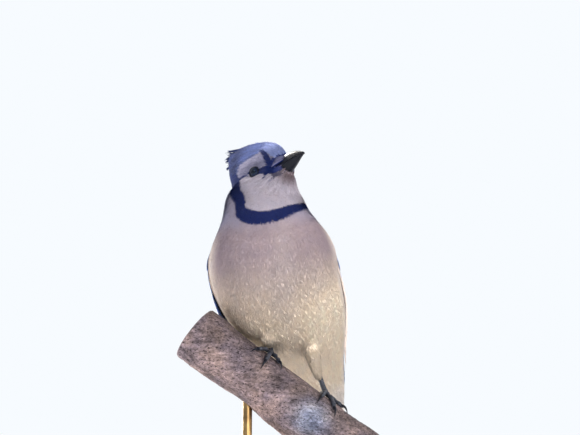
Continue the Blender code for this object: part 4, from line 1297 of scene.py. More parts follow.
def wing(side):
    surface = wing_surface(side)
    # an inner body that closes the gaps between feathers
    rings = []
    share = np.linspace(0.0, 1.0, 22)
    for u in np.linspace(0.15, 8.6, 44):
        top = surface(np.full(22, u), share, np.zeros(22), np.full(22, -0.9))
        row = WING_AT(u)
        angle = np.radians(row[1] + (row[2] + wing_low(side, u) - row[1]) * share)
        angle = angle if side == "left" else math.pi - angle
        deep = -1.2 if row[0] > 0.4 else -0.2
        low = body_point(np.full(22, row[0]), angle, np.full(22, deep))
        rings.append(np.concatenate([top, low[::-1]]))
    verts, faces = loft(rings)
    dark = np.broadcast_to(lin(40, 46, 74), (len(verts), 3))
    build("wing_lining_" + side, verts, faces, SKIN, colours=dark)

    flight = Vanes(surface)
    # primaries: the lowest layer, their tips beyond the rest, stepped along the lower edge
    for i in range(9):
        f = i / 8.0
        u1 = 9.25 - 1.9 * (1.0 - f)
        v1 = 0.62 - 0.16 * f
        flight.add((4.9 + 0.1 * i, 7.0, u1), (0.95 - 0.02 * i, 0.90 - 0.02 * i, v1), (0.0 + 0.1 * (8 - i), 0.1 + 0.1 * (8 - i), 0.25), 3.3, PRIMARY, bars=0.25, white=0.8 if i < 6 else 0.0, stations=24, uneven=0.25, camber=0.35, tip_dark=0.35)
    # secondaries, each over the one outside it
    for i in range(7):
        f = i / 6.0
        flight.add((3.3 + 0.05 * i, 5.2, 6.7 + 0.55 * (1.0 - f)), (0.93 - 0.50 * f, 0.93 - 0.50 * f, 0.86 - 0.44 * f), (0.5, 0.85 + 0.14 * i, 0.9 + 0.10 * i), 5.4, mix(WING_BLUE, PRIMARY, 0.25), bars=0.95, white=4.2, stations=24, camber=0.5, uneven=0.12)
    # tertials on top, next to the back
    for i in range(3):
        flight.add((2.9, 4.6, 6.9 - 0.35 * i), (0.40 - 0.12 * i, 0.36 - 0.11 * i, 0.32 - 0.10 * i), (1.2, 1.9 + 0.18 * i, 1.8 + 0.15 * i), 6.6, WING_BLUE, bars=1.0, white=4.6, stations=24, camber=0.6)
    flight.piece("wing_flight_" + side, replaces=("wing_" + side,))

    covert = Vanes(surface)
    for i in range(6):                                           # primary coverts
        f = i / 5.0
        covert.add((3.2, 5.0 + 0.15 * i), (0.97 - 0.03 * i, 0.95 - 0.04 * i), (1.0, 1.45), 2.6, WING_BLUE, bars=0.9, stations=14, white=0.0, camber=0.3)
    for i in range(9):                                           # greater coverts
        f = i / 8.0
        covert.add((1.9 + 0.1 * math.sin(f * 3.1), 3.75 + 0.35 * math.sin(f * 3.1)), (0.90 - 0.80 * f, 0.93 - 0.80 * f), (1.4, 1.9 + 0.05 * i), 4.3, mix(WING_BLUE, COVERT_BLUE, 0.3), bars=0.8, white=3.2, stations=14, camber=0.5)
    for i in range(11):                                          # median coverts
        f = i / 10.0
        covert.add((1.3, 2.55 + 0.2 * math.sin(f * 3.1)), (0.92 - 0.86 * f, 0.93 - 0.86 * f), (1.7, 2.25), 3.7, COVERT_BLUE, stations=9, camber=0.5, tip_dark=0.1)
    for row in range(6):                                         # lesser coverts
        n = 9 + row
        for i in range(n):
            f = (i + 0.5 * (row % 2)) / n
            u0 = 0.05 + 0.27 * row + RNG.normal(0.0, 0.03)
            covert.add((u0, u0 + 0.72), (0.98 - 0.96 * f, 0.98 - 0.96 * f + RNG.normal(0.0, 0.01)), (0.7, 1.95 + 0.06 * row), 2.7, COVERT_BLUE * RNG.normal(1.0, 0.07), stations=7, camber=0.5, dull=0.45)
    for row in range(9):                                         # scapulars along the back edge
        for i in range(4):
            u0 = 0.3 + 0.42 * row + 0.12 * i
            covert.add((u0, u0 + 1.15), (0.30 - 0.10 * i + 0.02 * RNG.normal(), 0.24 - 0.11 * i), (1.0, 2.4 + 0.08 * i), 4.6, SCAPULAR * RNG.normal(1.0, 0.06), stations=9, camber=0.6, dull=0.45)
    covert.piece("wing_coverts_" + side)


for name in ("left", "right"):
    wing(name)


# ---------------------------------------------------------------- tail
def tail_axes():
    down = unit(TAIL_DIR)
    left = unit(BODY_LEFT - (down @ BODY_LEFT) * down)
    return down, left, np.cross(left, down)


def tail_surface(u, v, offset, lift):
    """u is the share of the tail's length, v the place across from -1 to 1, lift in mm towards the back."""
    rows = np.array([r[0] for r in TAIL])
    index = np.interp(u, rows, np.arange(len(rows)))
    row = TAIL_AT(index)
    wide, arch = row[..., 1], row[..., 3]
    share = v + offset / np.maximum(wide, 8.0)
    down, left, back = tail_axes()
    return (
        np.asarray(TAIL_ROOT) + (u * TAIL_LEN)[..., None] * down + (share * np.maximum(wide, 8.0))[..., None] * left
        + (arch * (1.0 - np.clip(share, -1.0, 1.0) ** 2) + lift)[..., None] * back
    )


def tail():
    vanes = Vanes(tail_surface)
    for i in range(6):                                           # outermost pair lowest, middle pair on top
        for side in (-1.0, 1.0):
            f = (5 - i) / 5.0
            v1 = side * (0.05 + 0.70 * f)
            half = 6.4 - 0.9 * f
            end = 1.0 - 0.035 * f * f - 0.01 * (i % 2)
            vanes.add((0.02, 0.45, end), (side * (0.06 + 0.34 * f), side * (0.05 + 0.56 * f), v1), (-0.9 + 0.28 * i, -0.75 + 0.27 * i, -0.8 + 0.25 * i), half, WING_BLUE if i else mix(WING_BLUE, PRIMARY, 0.3), bars=1.0 if i > 0 else 0.35, white=(13.0, 10.0, 8.0, 5.0, 1.5, 0.0)[i], stations=34, camber=0.45, thick=0.32, uneven=-0.12 * side * f)
    vanes.piece("tail_feathers", replaces=("tail",))
    # coverts over and under the root of the tail
    for name, sign, colour, rows in (("tail_coverts_above", 1.0, RUMP, 5), ("tail_coverts_below", -1.0, VENT, 6)):
        cover = Vanes(tail_surface)
        for row in range(rows):
            n = 6
            for i in range(n):
                v = (i + 0.5 + 0.25 * (-1) ** row) / n * 2.0 - 1.0
                u0 = -0.10 + 0.055 * row
                top = 2.6 - 0.12 * row if sign > 0 else -3.2 + 0.20 * row
                cover.add((u0, u0 + 0.17), (v * 0.85, v * 0.8), (sign * 0.5, top), 4.2, colour * RNG.normal(1.0, 0.05), stations=9, camber=0.5 * sign, dull=0.3, thick=0.25 * sign)
        cover.piece(name)


tail()


# ---------------------------------------------------------------- crest, bristles and the fringe of the chin
def strands(name, rows, rough=COAT):
    """Free feathers given as (points, half width, colour at root, at tip, flatness normal): narrow closed vanes."""
    verts, faces, colours, uv, at = [], [], [], [], 0
    for points, half, root, tip, face in rows:
        points = np.asarray(points, float)
        n = len(points)
        k = np.linspace(0.0, 1.0, n)
        along = unit(np.gradient(points, axis=0))
        side = unit(np.cross(along, face))
        up = np.cross(side, along)
        w = half * np.interp(k, (0.0, 0.25, 0.6, 0.85, 1.0), (0.6, 1.0, 0.85, 0.45, 0.05))[:, None]
        ring = np.stack([points - side * w, points + up * w * 0.35, points + side * w, points - up * 0.12], 1)
        i = np.arange(4)
        j = (i + 1) % 4
        a = (np.arange(n - 1) * 4)[:, None]
        quads = np.stack([a + i, a + j, a + 4 + j, a + 4 + i], -1).reshape(-1, 4)[:, ::-1]
        tris = np.concatenate([quads[:, [0, 1, 2]], quads[:, [0, 2, 3]], [[0, 1, 2], [0, 2, 3]], np.array([[2, 1, 0], [3, 2, 0]]) + (n - 1) * 4])
        verts.append(ring.reshape(-1, 3)); faces.append(tris + at)
        colours.append(np.repeat(mix(root, tip, k), 4, 0) * RNG.normal(1.0, 0.06))
        spot = unwrap(points[:1], np.array([7.0]), np.array([1.5]), np.array([1.0]), np.array([0.0]))[0]
        uv.append(spot + 0.0013 * np.stack([np.tile([-1.0, 0.0, 1.0, 0.0], n), np.repeat(2.0 * k - 1.0, 4)], -1))
        at += n * 4
    return build(name, np.concatenate(verts), np.concatenate(faces), rough, colours=np.clip(np.concatenate(colours), 0.0, 1.0), maps={"OFBake": np.concatenate(uv)})


def head_top(x, y):
    """Height of the skin's top at a place of the head's frame, found by a ray."""
    start = from_head(np.array([x, y, 60.0]))
    hit = TREE.ray_cast(Vector(start), Vector(-HEAD_AXES[2]))
    return to_head(np.array(hit[0])) if hit[0] else None


# tips of the crest's clumps in the head's frame, with the place each starts from
CLUMPS = (
    ((-37.6, 0.4, 37.0), -18.0), ((-34.0, -3.6, 35.8), -16.0), ((-32.0, 3.4, 35.6), -16.0),
    ((-40.2, 0.0, 33.6), -20.0), ((-36.0, 3.4, 32.6), -17.0), ((-36.8, -3.8, 32.0), -18.0),
    ((-38.4, 0.6, 30.4), -22.0), ((-36.0, -4.8, 28.6), -19.0), ((-35.8, 4.6, 28.2), -19.0),
    ((-41.0, -0.6, 26.6), -24.0), ((-37.4, -4.0, 24.6), -21.0), ((-37.0, 4.0, 24.6), -21.0),
    ((-39.8, 0.2, 22.0), -26.0), ((-37.0, -3.0, 19.6), -25.0), ((-36.8, 2.8, 19.6), -25.0), ((-37.6, -0.4, 16.6), -27.0),
)


def crest():
    rows = []
    up = HEAD_AXES[2]
    # overlapping feathers that lie along the crown
    for _ in range(520):
        x0 = RNG.uniform(-24.0, 6.0)
        y0 = RNG.normal(0.0, 5.4) * np.interp(x0, (-27.0, 6.0), (0.75, 1.15))
        base = head_top(x0, y0)
        if base is None:
            continue
        length = np.interp(x0, (-24.0, -16.0, -8.0, 6.0), (8.0, 11.0, 10.5, 6.5)) * RNG.uniform(0.8, 1.1)
        guide = []
        for f in np.linspace(0.0, 1.0, 6):
            x, y = x0 - length * f, y0 * (1.0 - 0.35 * f)
            top = head_top(x, y) if x > -31.0 else None
            z = top[2] + 0.15 + 0.9 * f if top is not None else guide[-1][2] - 0.35
            guide.append((x, y, z + (RNG.normal(0.0, 0.2) if f == 1.0 else 0.0)))
        guide = np.array(guide)
        blue = mix(mix(CROWN, FORE, step(x0, -4.0, 5.0) * 0.7), CROWN_BACK, step(-x0, 4.0, 22.0)) * RNG.normal(1.0, 0.11)
        tip = mix(blue, DARK_CREST, step(-guide[-1][0], 22.0, 33.0) * 0.7)
        rows.append((from_head(guide), np.interp(x0, (-24.0, 6.0), (0.62, 0.34)) * RNG.uniform(0.8, 1.2), blue * 0.6, tip, up))
    # pointed clumps that stand free at the back
    for tip, start in CLUMPS:
        tip = np.array(tip)
        for _ in range(15):
            x0 = start + RNG.normal(0.0, 2.8)
            y0 = tip[1] * 1.2 + RNG.normal(0.0, 2.2)
            base = head_top(x0, y0)
            if base is None:
                continue
            # the lower clumps leave the side of the head, not its top
            base[2] = min(base[2], np.interp(tip[2], (20.0, 30.0, 40.0), (21.0, 28.0, 36.0)) + RNG.normal(0.0, 1.0))
            end = tip + RNG.normal(0.0, 1.0, 3) * (0.3, 0.35, 0.4) + (RNG.uniform(0.0, 4.0), 0.0, 0.0)
            middle = base * 0.45 + end * 0.55 + (0.0, 0.0, RNG.normal(0.35, 0.3))
            guide = [base * (1 - f) ** 2 + middle * 2.0 * f * (1 - f) + end * f * f for f in np.linspace(0.0, 1.0, 8)]
            low = step(tip[2], 36.0, 22.0)
            tone = mix(CROWN_BACK, DARK_CREST, 0.25 + 0.75 * low) * RNG.normal(1.0, 0.12)
            rows.append((from_head(np.array(guide)), RNG.uniform(0.42, 0.66), tone, mix(tone, DARK_CREST, 0.7) * 0.9, unit(up + RNG.normal(0.0, 0.5) * HEAD_AXES[1])))
    # shorter dark feathers down the nape, under the clumps
    for _ in range(260):
        z0 = RNG.uniform(2.0, 30.0)
        start = from_head(np.array([-55.0, RNG.normal(0.0, 3.6), z0]))
        hit = TREE.ray_cast(Vector(start), Vector(HEAD_AXES[0]))
        if not hit[0]:
            continue
        p = to_head(np.array(hit[0])) + (2.4, 0.0, 0.4)
        length = np.interp(z0, (2.0, 14.0, 30.0), (4.2, 4.6, 5.0)) * RNG.uniform(0.75, 1.15)
        lie = unit(np.array((-1.0, p[1] * 0.04, np.interp(z0, (2.0, 14.0, 22.0, 30.0), (-1.1, -0.65, -0.15, 0.25)) + RNG.normal(0.0, 0.1))))
        guide = [p + lie * length * f + np.array((0.0, 0.0, -0.5 * f * f)) for f in np.linspace(0.0, 1.0, 5)]
        colour = mix(DARK_CREST, BLACK, step(z0, 18.0, 8.0)) * RNG.normal(1.0, 0.12)
        rows.append((from_head(np.array(guide)), RNG.uniform(0.4, 0.7), colour * 0.8, colour, HEAD_AXES[1] * np.sign(p[1] + 1e-3)))
    strands("crest", rows)


def fringe():
    """Soft flank feathers that rise over the front edge of each folded wing."""
    for side, sign in (("left", 1.0), ("right", -1.0)):
        surface = wing_surface(side)
        rows = []
        for _ in range(560):
            u = RNG.uniform(0.15, 7.2)
            t = WING_AT(u)[0]
            if t < (4.3 if side == "right" else 2.2):
                continue
            row = WING_AT(u)
            edge = row[2] + wing_low(side, u)
            a0 = edge + RNG.uniform(2.0, 13.0)
            length = RNG.uniform(12.0, 18.0)
            rise = RNG.uniform(-2.0, 6.0)
            points = []
            for f in np.linspace(0.0, 1.0, 7):
                angle = a0 - (a0 - edge + rise) * f
                tt = t - length * f * 0.9 / 16.0
                rad = math.radians(angle)
                rad = rad if sign > 0 else math.pi - rad
                lift = 0.6 + 2.6 * step(edge - angle, -7.0, 3.0) + 0.4 * f
                points.append(body_point(np.array([tt]), np.array([rad]), np.array([lift]))[0])
            points = np.array(points)
            out = unit(points[3] - body_point(np.array([t]), np.array([math.radians(a0) if sign > 0 else math.pi - math.radians(a0)]), np.array([-8.0]))[0])
            tone = mix(FLANK, BREAST_SIDE, step(t, 4.9, 5.7)) * RNG.normal(1.0, 0.05)
            rows.append((points, RNG.uniform(0.22, 0.42), tone * 0.8, tone, out))
        strands("flank_fringe_" + side, rows)


def bristles():
    rows = []
    for side in (-1.0, 1.0):
        for n in range(108):                                     # over the nostrils, along the upper bill
            x0, level = RNG.uniform(11.8, 15.5), (RNG.uniform(0.0, 0.16) if n < 30 else (RNG.uniform(0.16, 0.60) if n < 88 else RNG.uniform(0.66, 0.82)))
            t0 = np.interp(x0, [r[0] for r in BILL], np.arange(len(BILL)))
            length = RNG.uniform(4.5, 7.6) * (1.0 - 0.25 * abs(level - 0.4))
            guide = []
            for f in np.linspace(0.0, 1.0, 6):
                x = x0 + length * f
                _, wide, ridge, edge, keel = BILL_ROWS(np.interp(x, [r[0] for r in BILL], np.arange(len(BILL))))
                a = math.radians(4.0 + 66.0 * level * (1.0 - 0.25 * f) + 8.0 * f)
                out = 1.0 + (1.8 - 1.5 * f) / wide
                y, z = side * wide * math.cos(a) * out, edge + (ridge - edge) * math.sin(a) * out
                guide.append((x, y, z + 0.2))
            tone = (BLACK if level < 0.10 or level > 0.65 else (NOSE * 1.5 if level < 0.18 else NOSE)) * RNG.normal(1.0, 0.13)
            rows.append((from_head(np.array(guide)), RNG.uniform(0.20, 0.32), tone * 0.85, tone, unit(HEAD_AXES[1] * side + 0.6 * HEAD_AXES[2])))
        for _ in range(30):                                      # rictal bristles under the gape
            x0 = RNG.uniform(9.0, 13.0)
            guide = []
            z0 = RNG.uniform(-8.5, -5.0)
            for f in np.linspace(0.0, 1.0, 6):
                x = x0 + 6.5 * f
                _, wide, ridge, edge, keel = BILL_ROWS(np.interp(x, [r[0] for r in BILL], np.arange(len(BILL))))
                guide.append((x, side * (wide + 2.6 - 1.9 * f), z0 + 0.8 * f))
            rows.append((from_head(np.array(guide)), RNG.uniform(0.18, 0.30), BLACK, mix(BLACK, NOSE, 0.3), unit(HEAD_AXES[1] * side)))
    for _ in range(240):                                         # chin feathers that reach forward under the bill
        a = RNG.uniform(-1.15, 1.15)
        x0 = RNG.uniform(12.5, 18.5)
        guide = []
        length = RNG.uniform(1.8, 3.0)
        for f in np.linspace(0.0, 1.0, 5):
            x = x0 + length * f * (1.0 - 0.15 * abs(a))
            _, wide, ridge, edge, keel = BILL_ROWS(np.interp(x, [r[0] for r in BILL], np.arange(len(BILL))))
            drop = np.interp(x, (12.0, 17.0, 21.0), (6.0, 2.6, 0.35))
            guide.append((x, math.sin(a) * (wide * 0.95 + drop * 0.5), edge - (edge - keel) * math.cos(a) ** 0.7 - drop * math.cos(a)))
        tone = mix(CHIN, PALE_FACE, RNG.uniform(0.0, 0.35)) * RNG.normal(0.95, 0.1)
        rows.append((from_head(np.array(guide)), RNG.uniform(0.22, 0.36), tone * 0.7, tone, unit(-HEAD_AXES[2] * math.cos(a) + HEAD_AXES[1] * math.sin(a))))
    strands("face_bristles", rows)


crest()
bristles()
fringe()


# ---------------------------------------------------------------- eyes and lids
def frame_of(aim):
    """Two directions square to an axis: forwards along the head and upwards."""
    fore = unit(HEAD_AXES[0] - (HEAD_AXES[0] @ aim) * aim)
    return fore, unit(HEAD_AXES[2] - (HEAD_AXES[2] @ aim) * aim - ((HEAD_AXES[2] @ fore) * fore))


def eye(side, centre, aim):
    fore, up = frame_of(aim)
    rows, colours = [], []
    around = 56
    a = np.linspace(0.0, 2.0 * math.pi, around, endpoint=False)
    for angle in np.radians(np.concatenate([np.linspace(0.8, 60.0, 75), np.linspace(63.0, 179.0, 24)])):
        r = EYE_R + (0.28 * math.cos(angle / math.radians(34.0) * math.pi / 2.0) if angle < math.radians(34.0) else 0.0)
        rows.append(centre + r * (math.cos(angle) * aim + math.sin(angle) * (np.cos(a)[:, None] * fore + np.sin(a)[:, None] * up)))
        d = EYE_R * math.sin(angle)
        # the iris is painted dark blue: a painted reflection of the pale sky over an iris that is dark brown
        iris_with_painted_reflection = mix(lin(18, 22, 46), lin(10, 14, 32), step(d, 2.1, 3.3))
        colours.append(mix(mix(lin(3, 4, 8), iris_with_painted_reflection, step(d, 1.7, 1.9)), lin(4, 5, 10), step(d, 2.5, 2.9)))
    verts, faces = loft(rows)
    paint = np.concatenate([np.repeat(colours, around, 0), [colours[0], colours[-1]]])
    build("eyeball_" + side, verts, faces, EYE, colours=paint, replaces=("eye_" + side,))
    # lids: a thin bare rim that lies on the ball, folds over and runs down under the feathers
    profile = ((2.86, 0.06, 1.0), (2.98, 0.30, 1.0), (3.28, 0.44, 1.0), (3.62, 0.36, 1.0), (3.86, 0.12, 1.0), (4.25, 0.0, 0.6), (4.8, -0.1, 0.25), (5.5, -0.35, 0.0), (4.9, -1.1, 0.0), (3.7, -1.3, 0.55), (2.90, -0.45, 1.0))
    rings = []
    for b in np.linspace(0.0, 2.0 * math.pi, 84, endpoint=False):
        stretch = 1.0 + 0.05 * math.cos(2.0 * b)
        spoke = math.cos(b) * fore + math.sin(b) * up
        ring = []
        for r, high, ball in profile:
            r = r * stretch + 0.05 * math.sin(b * 22.0) * (1.0 if high > 0.1 else 0.0)
            on = centre + r * spoke + math.sqrt(max(EYE_R ** 2 - r * r, 0.0)) * aim
            where, normal, _ = on_skin(on[None])
            place_on = where[0] + 0.25 * normal[0]
            ring.append(on * ball + place_on * (1.0 - ball) + high * (unit(on - centre) * ball + normal[0] * (1.0 - ball)))
        rings.append(np.array(ring))
    n, k = len(rings), len(profile)
    verts = np.array(rings).reshape(-1, 3)
    i = np.arange(k)
    j = (i + 1) % k
    quads = np.concatenate([np.stack([r * k + i, r * k + j, (r + 1) % n * k + j, (r + 1) % n * k + i], -1) for r in range(n)])
    p = verts[quads[2]]
    if np.cross(p[1] - p[0], p[3] - p[0]) @ aim < 0:
        quads = quads[:, ::-1]
    build("lids_" + side, verts, quads, LID)
    # tiny feathers round the rim
    rows = []
    for _ in range(420):
        b = RNG.uniform(0.0, 2.0 * math.pi)
        spoke = math.cos(b) * fore + math.sin(b) * up
        r = RNG.uniform(3.85, 5.1)
        q = centre + math.sqrt(max(EYE_R ** 2 - r * r, 0.0)) * aim + r * spoke
        where, normal, _ = on_skin(q[None])
        lie = unit(spoke * 0.8 - HEAD_AXES[0] * 0.7)
        lie = unit(lie - (lie @ normal[0]) * normal[0])
        if lie @ spoke < -0.2:
            lie = unit(lie - 1.2 * (lie @ spoke) * spoke)
        length = RNG.uniform(1.2, 1.9)
        start = where[0] * 0.5 + q * 0.5
        points = [start + lie * length * f + normal[0] * (0.1 + 0.55 * math.sin(1.5 * f)) for f in (0.0, 0.35, 0.7, 1.0)]
        t, phi = np.array([6.5]), np.array([3.0])
        tone = markings(where + 0.8 * lie, normal, t, phi, np.array([1.0]), 0.7)[0] * RNG.normal(1.05, 0.08)
        rows.append((points, RNG.uniform(0.14, 0.2), tone * 0.7, tone, normal[0]))
    strands("eye_feathers_" + side, rows)


for name, spot, aim in zip(("left", "right"), EYES, EYE_AIM):
    eye(name, spot, aim)


# ---------------------------------------------------------------- bill
def bill():
    for lower in (False, True):
        rings = []
        around = 44
        for t in np.linspace(0.0, len(BILL) - 1.0, 90):
            x, wide, ridge, edge, keel = BILL_ROWS(t)
            a = np.linspace(0.0, math.pi, around // 2 + 1)
            cs, sn = np.cos(a), np.sin(a)
            lip = 0.10 * np.exp(-((sn / 0.16) ** 2))
            if lower:
                depth = max(edge - GAP - keel, 0.25)
                y, z = wide * 0.93 * cs * (1.0 + lip), edge - GAP - depth * sn ** 0.8
                inner = np.stack([np.full(9, x), np.linspace(-0.86, 0.86, 11)[1:-1] * wide * 0.93, edge - GAP - 0.25 * depth * (1.0 - np.linspace(-0.86, 0.86, 11)[1:-1] ** 2)], -1)
            else:
                y, z = wide * np.sign(cs) * np.abs(cs) ** 1.06 * (1.0 + lip), edge + (ridge - edge) * sn ** 0.85
                # nostril pits, mostly under the bristles
                pit = 0.7 * np.exp(-(((x - 15.6) / 1.6) ** 2) - ((z - (edge + 0.55 * (ridge - edge))) / 1.1) ** 2)
                y = y - np.sign(y) * pit
                inner = np.stack([np.full(9, x), np.linspace(-0.86, 0.86, 11)[1:-1] * wide, edge + 0.2 * (ridge - edge) * (1.0 - np.linspace(-0.86, 0.86, 11)[1:-1] ** 2)], -1)
            outer = np.stack([np.full(len(a), x), y, z], -1)
            rings.append(from_head(np.concatenate([outer, inner])))
        verts, faces = loft(rings)
        name = "bill_lower" if lower else "bill_upper"
        build(name + "_horn", verts, faces, HORN, replaces=(name,), sharp=60)


bill()


# ---------------------------------------------------------------- feet
def foot(side):
    x = FOOT_X[side]
    along, front, up = perch_axes()
    s0 = (x - PERCH_AT[0] - PERCH_R * up[0]) / along[0]
    swing = FOOT_SWING[side]
    back_shift = math.radians(-6.0)
    hub = perch_point(s0, back_shift, PERCH_R + 2.6)
    top = np.array({"right": (-12.0, 4.0, 43.0), "left": (16.0, 4.0, 24.0)}[side])
    scute = lambda d, pitch: 0.07 * ((d / pitch) % 1.0)
    parts, claws = [], []
    n = 60
    shin = np.array([hub + (top - hub) * f for f in np.linspace(-0.04, 1.0, n)])
    run = np.linalg.norm(shin - shin[0], axis=1)
    base = np.interp(np.linspace(0.0, 1.0, n), (0.0, 0.15, 0.5, 1.0), (2.1, 1.55, 1.5, 1.75))
    a = np.linspace(0.0, 2.0 * math.pi, 20, endpoint=False)
    parts.append(tube(shin, [r * (1.0 + scute(d, 1.9) - 0.05 * np.cos(2.0 * a)) for r, d in zip(base, run)], 20))
    for name, spread, length, radius in TOES:
        turn = spread if side == "left" else -spread
        direction = math.radians(turn + (swing if name != "hind" else swing * 0.6))
        points, radii, n = [], [], 64
        for f in np.linspace(0.0, 1.0, n):
            d = length * f
            ahead, aside = d * math.cos(direction), d * math.sin(direction)
            pad = 0.10 * math.sin(d * 2.0 * math.pi / (length / (2.0 if name == "hind" else 3.0)) - 0.8)
            r = radius * (1.0 - 0.22 * f) * (1.0 + pad)
            r *= math.sqrt(max(0.0, 1.0 - max(0.0, (f - 0.93) / 0.075) ** 2)) * 0.6 + 0.4
            lift = 2.4 * max(0.0, 1.0 - d / 3.0) + (r + 0.25) * min(1.0, d / 3.0)
            points.append(perch_point(s0 + aside, back_shift + ahead / (PERCH_R + 1.6), PERCH_R + lift))
            radii.append(r * (1.0 + scute(d, 1.25)))
        parts.append(tube(points, radii, 16))
        points, radii, n = [], [], 22
        for f in np.linspace(0.0, 1.0, n):
            d = length - 1.4 + (CLAW + 1.2) * f
            ahead, aside = d * math.cos(direction), d * math.sin(direction)
            r = max(0.12, radius * 0.72 * (1.0 - f) ** 0.75)
            lift = 0.35 + radius * 0.75 * (1.0 - 0.5 * f) + 1.5 * math.sin(math.pi * min(1.0, f * 1.05)) * (1.0 - 0.35 * f) - 0.6 * f
            points.append(perch_point(s0 + aside, back_shift + ahead / (PERCH_R + 1.6), PERCH_R + lift))
            radii.append(r)
        claws.append(tube(points, radii, 12))
    verts, faces = joined(parts)
    build("toes_" + side, verts, faces, SCALES, replaces=("foot_" + side,))
    verts, faces = joined(claws)
    build("claws_" + side, verts, faces, HORN)


for name in ("left", "right"):
    foot(name)


# ---------------------------------------------------------------- branch
def bark_height(p, s, angle):
    """Relief of the bark in mm: long low furrows, small pits and a few corky dots."""
    q = Vector((s * 0.06, math.cos(angle) * 1.1, math.sin(angle) * 1.1))
    big = noise.noise(q * 1.3) * 0.7
    long = noise.noise(Vector((s * 0.10, math.cos(angle) * 6.0, math.sin(angle) * 6.0))) * 0.42
    fine = noise.fractal(Vector((s * 0.42, math.cos(angle) * 7.0, math.sin(angle) * 7.0)), 0.9, 2.0, 4) * 0.26
    return big + long + fine


def branch():
    steps, around = 250, 168
    angles = np.linspace(0.0, 2.0 * math.pi, around, endpoint=False)
    stations = np.linspace(PERCH_FROM + 0.6, PERCH_TO - 0.6, steps)
    rings, colours = [], []
    bark, wood_c = lin(132, 118, 122), lin(206, 184, 150)
    for s in stations:
        far = min(1.0, max(0.0, (abs(s + 2.0) - 34.0) / 30.0))
        swell = far * (0.6 + 0.7 * np.sin(2.0 * angles + 0.05 * s) + 0.5 * np.sin(3.0 * angles - 0.11 * s))
        under = 0.8 * np.maximum(0.0, -np.cos(angles)) * math.sin(0.09 * s + 1.0)
        knot = 5.0 * np.exp(-(((s - 17.0) / 11.0) ** 2) - ((angles - math.radians(96.0)) / 0.6) ** 2)
        rough = np.array([bark_height(None, s, a) for a in angles])
        grip = np.exp(-((s + 8.0) / 26.0) ** 2) * np.clip(np.cos(angles - 0.5), 0.0, 1.0)
        end = min(1.0, (s - stations[0]) / 2.0, (stations[-1] - s) / 2.0)
        r = PERCH_R + swell + under + knot + rough * (1.0 - 0.55 * grip) - 0.15 - 0.8 * (1.0 - math.sqrt(max(0.0, end))) ** 2
        rings.append(perch_point(np.full(around, s), angles, r))
        # bark is lighter where it stands higher and darker where it dips; the top of the branch is painted darker, a
        # painted shade, and its underside lighter and warm tan, a painted light
        light = 1.0 + 0.45 * rough / 0.6
        above = np.clip(np.cos(angles - 0.3), 0.0, 1.0)[:, None]
        tone = (bark * (1.0 - 0.45 * above) + lin(150, 126, 112) * 0.25 * np.clip(-np.cos(angles), 0.0, 1.0)[:, None]) * np.clip(light, 0.55, 1.4)[:, None]
        cork = np.clip(knot / 4.0, 0.0, 1.0)[:, None]
        colours.append(tone * (1.0 - cork) + cork * lin(132, 138, 158) * np.clip(light, 0.7, 1.3)[:, None])
    # cut ends: a thin bark rim, then rings of wood a little uneven
    for at, order in ((0, -1), (-1, 1)):
        face_r, face_c = [], []
        rim = rings[at]
        mid = rim.mean(0)
        outward = unit(perch_axes()[0]) * (1.0 if order > 0 else -1.0)
        for f in (0.94, 0.925, *np.linspace(0.9, 0.06, 18)):
            wob = np.array([noise.noise(Vector((math.cos(a) * f * 2.4, math.sin(a) * f * 2.4, 7.0 * order))) for a in angles])
            dish = -0.35 if f < 0.93 else 0.0
            face_r.append(mid + (rim - mid) * f + outward * (dish + 0.25 * wob)[:, None])
            ring_tone = 0.82 + 0.18 * math.sin(f * 46.0)
            tone = wood_c * ring_tone * np.clip(1.0 - 0.5 * (1.0 - step(f, 0.0, 0.16)), 0.3, 1.0)
            face_c.append(np.broadcast_to(tone if f < 0.93 else bark * 0.7, (around, 3)) * (1.0 + 0.12 * wob)[:, None])
        if order < 0:
            rings, colours = face_r[::-1] + rings, face_c[::-1] + colours
        else:
            rings, colours = rings + face_r, colours + face_c
    verts, faces = loft(rings)
    paint = np.concatenate([np.concatenate(colours), wood_c[None] * 0.5, wood_c[None] * 0.5])
    build("branch", verts, faces, BARK, colours=np.clip(paint, 0.0, 1.0), replaces=("perch",), sharp=50)


branch()


# ---------------------------------------------------------------- stand
def lathe(profile, around=128, centre=(0.0, 0.0)):
    """A closed turned shape from (radius, height) rows in world millimetres."""
    a = np.linspace(0.0, 2.0 * math.pi, around, endpoint=False)
    rings = [np.stack([centre[0] + r * np.cos(a), centre[1] + r * np.sin(a), np.full(around, z)], -1) - (0.0, REAR, LIFT) for r, z in profile]
    return loft(rings)


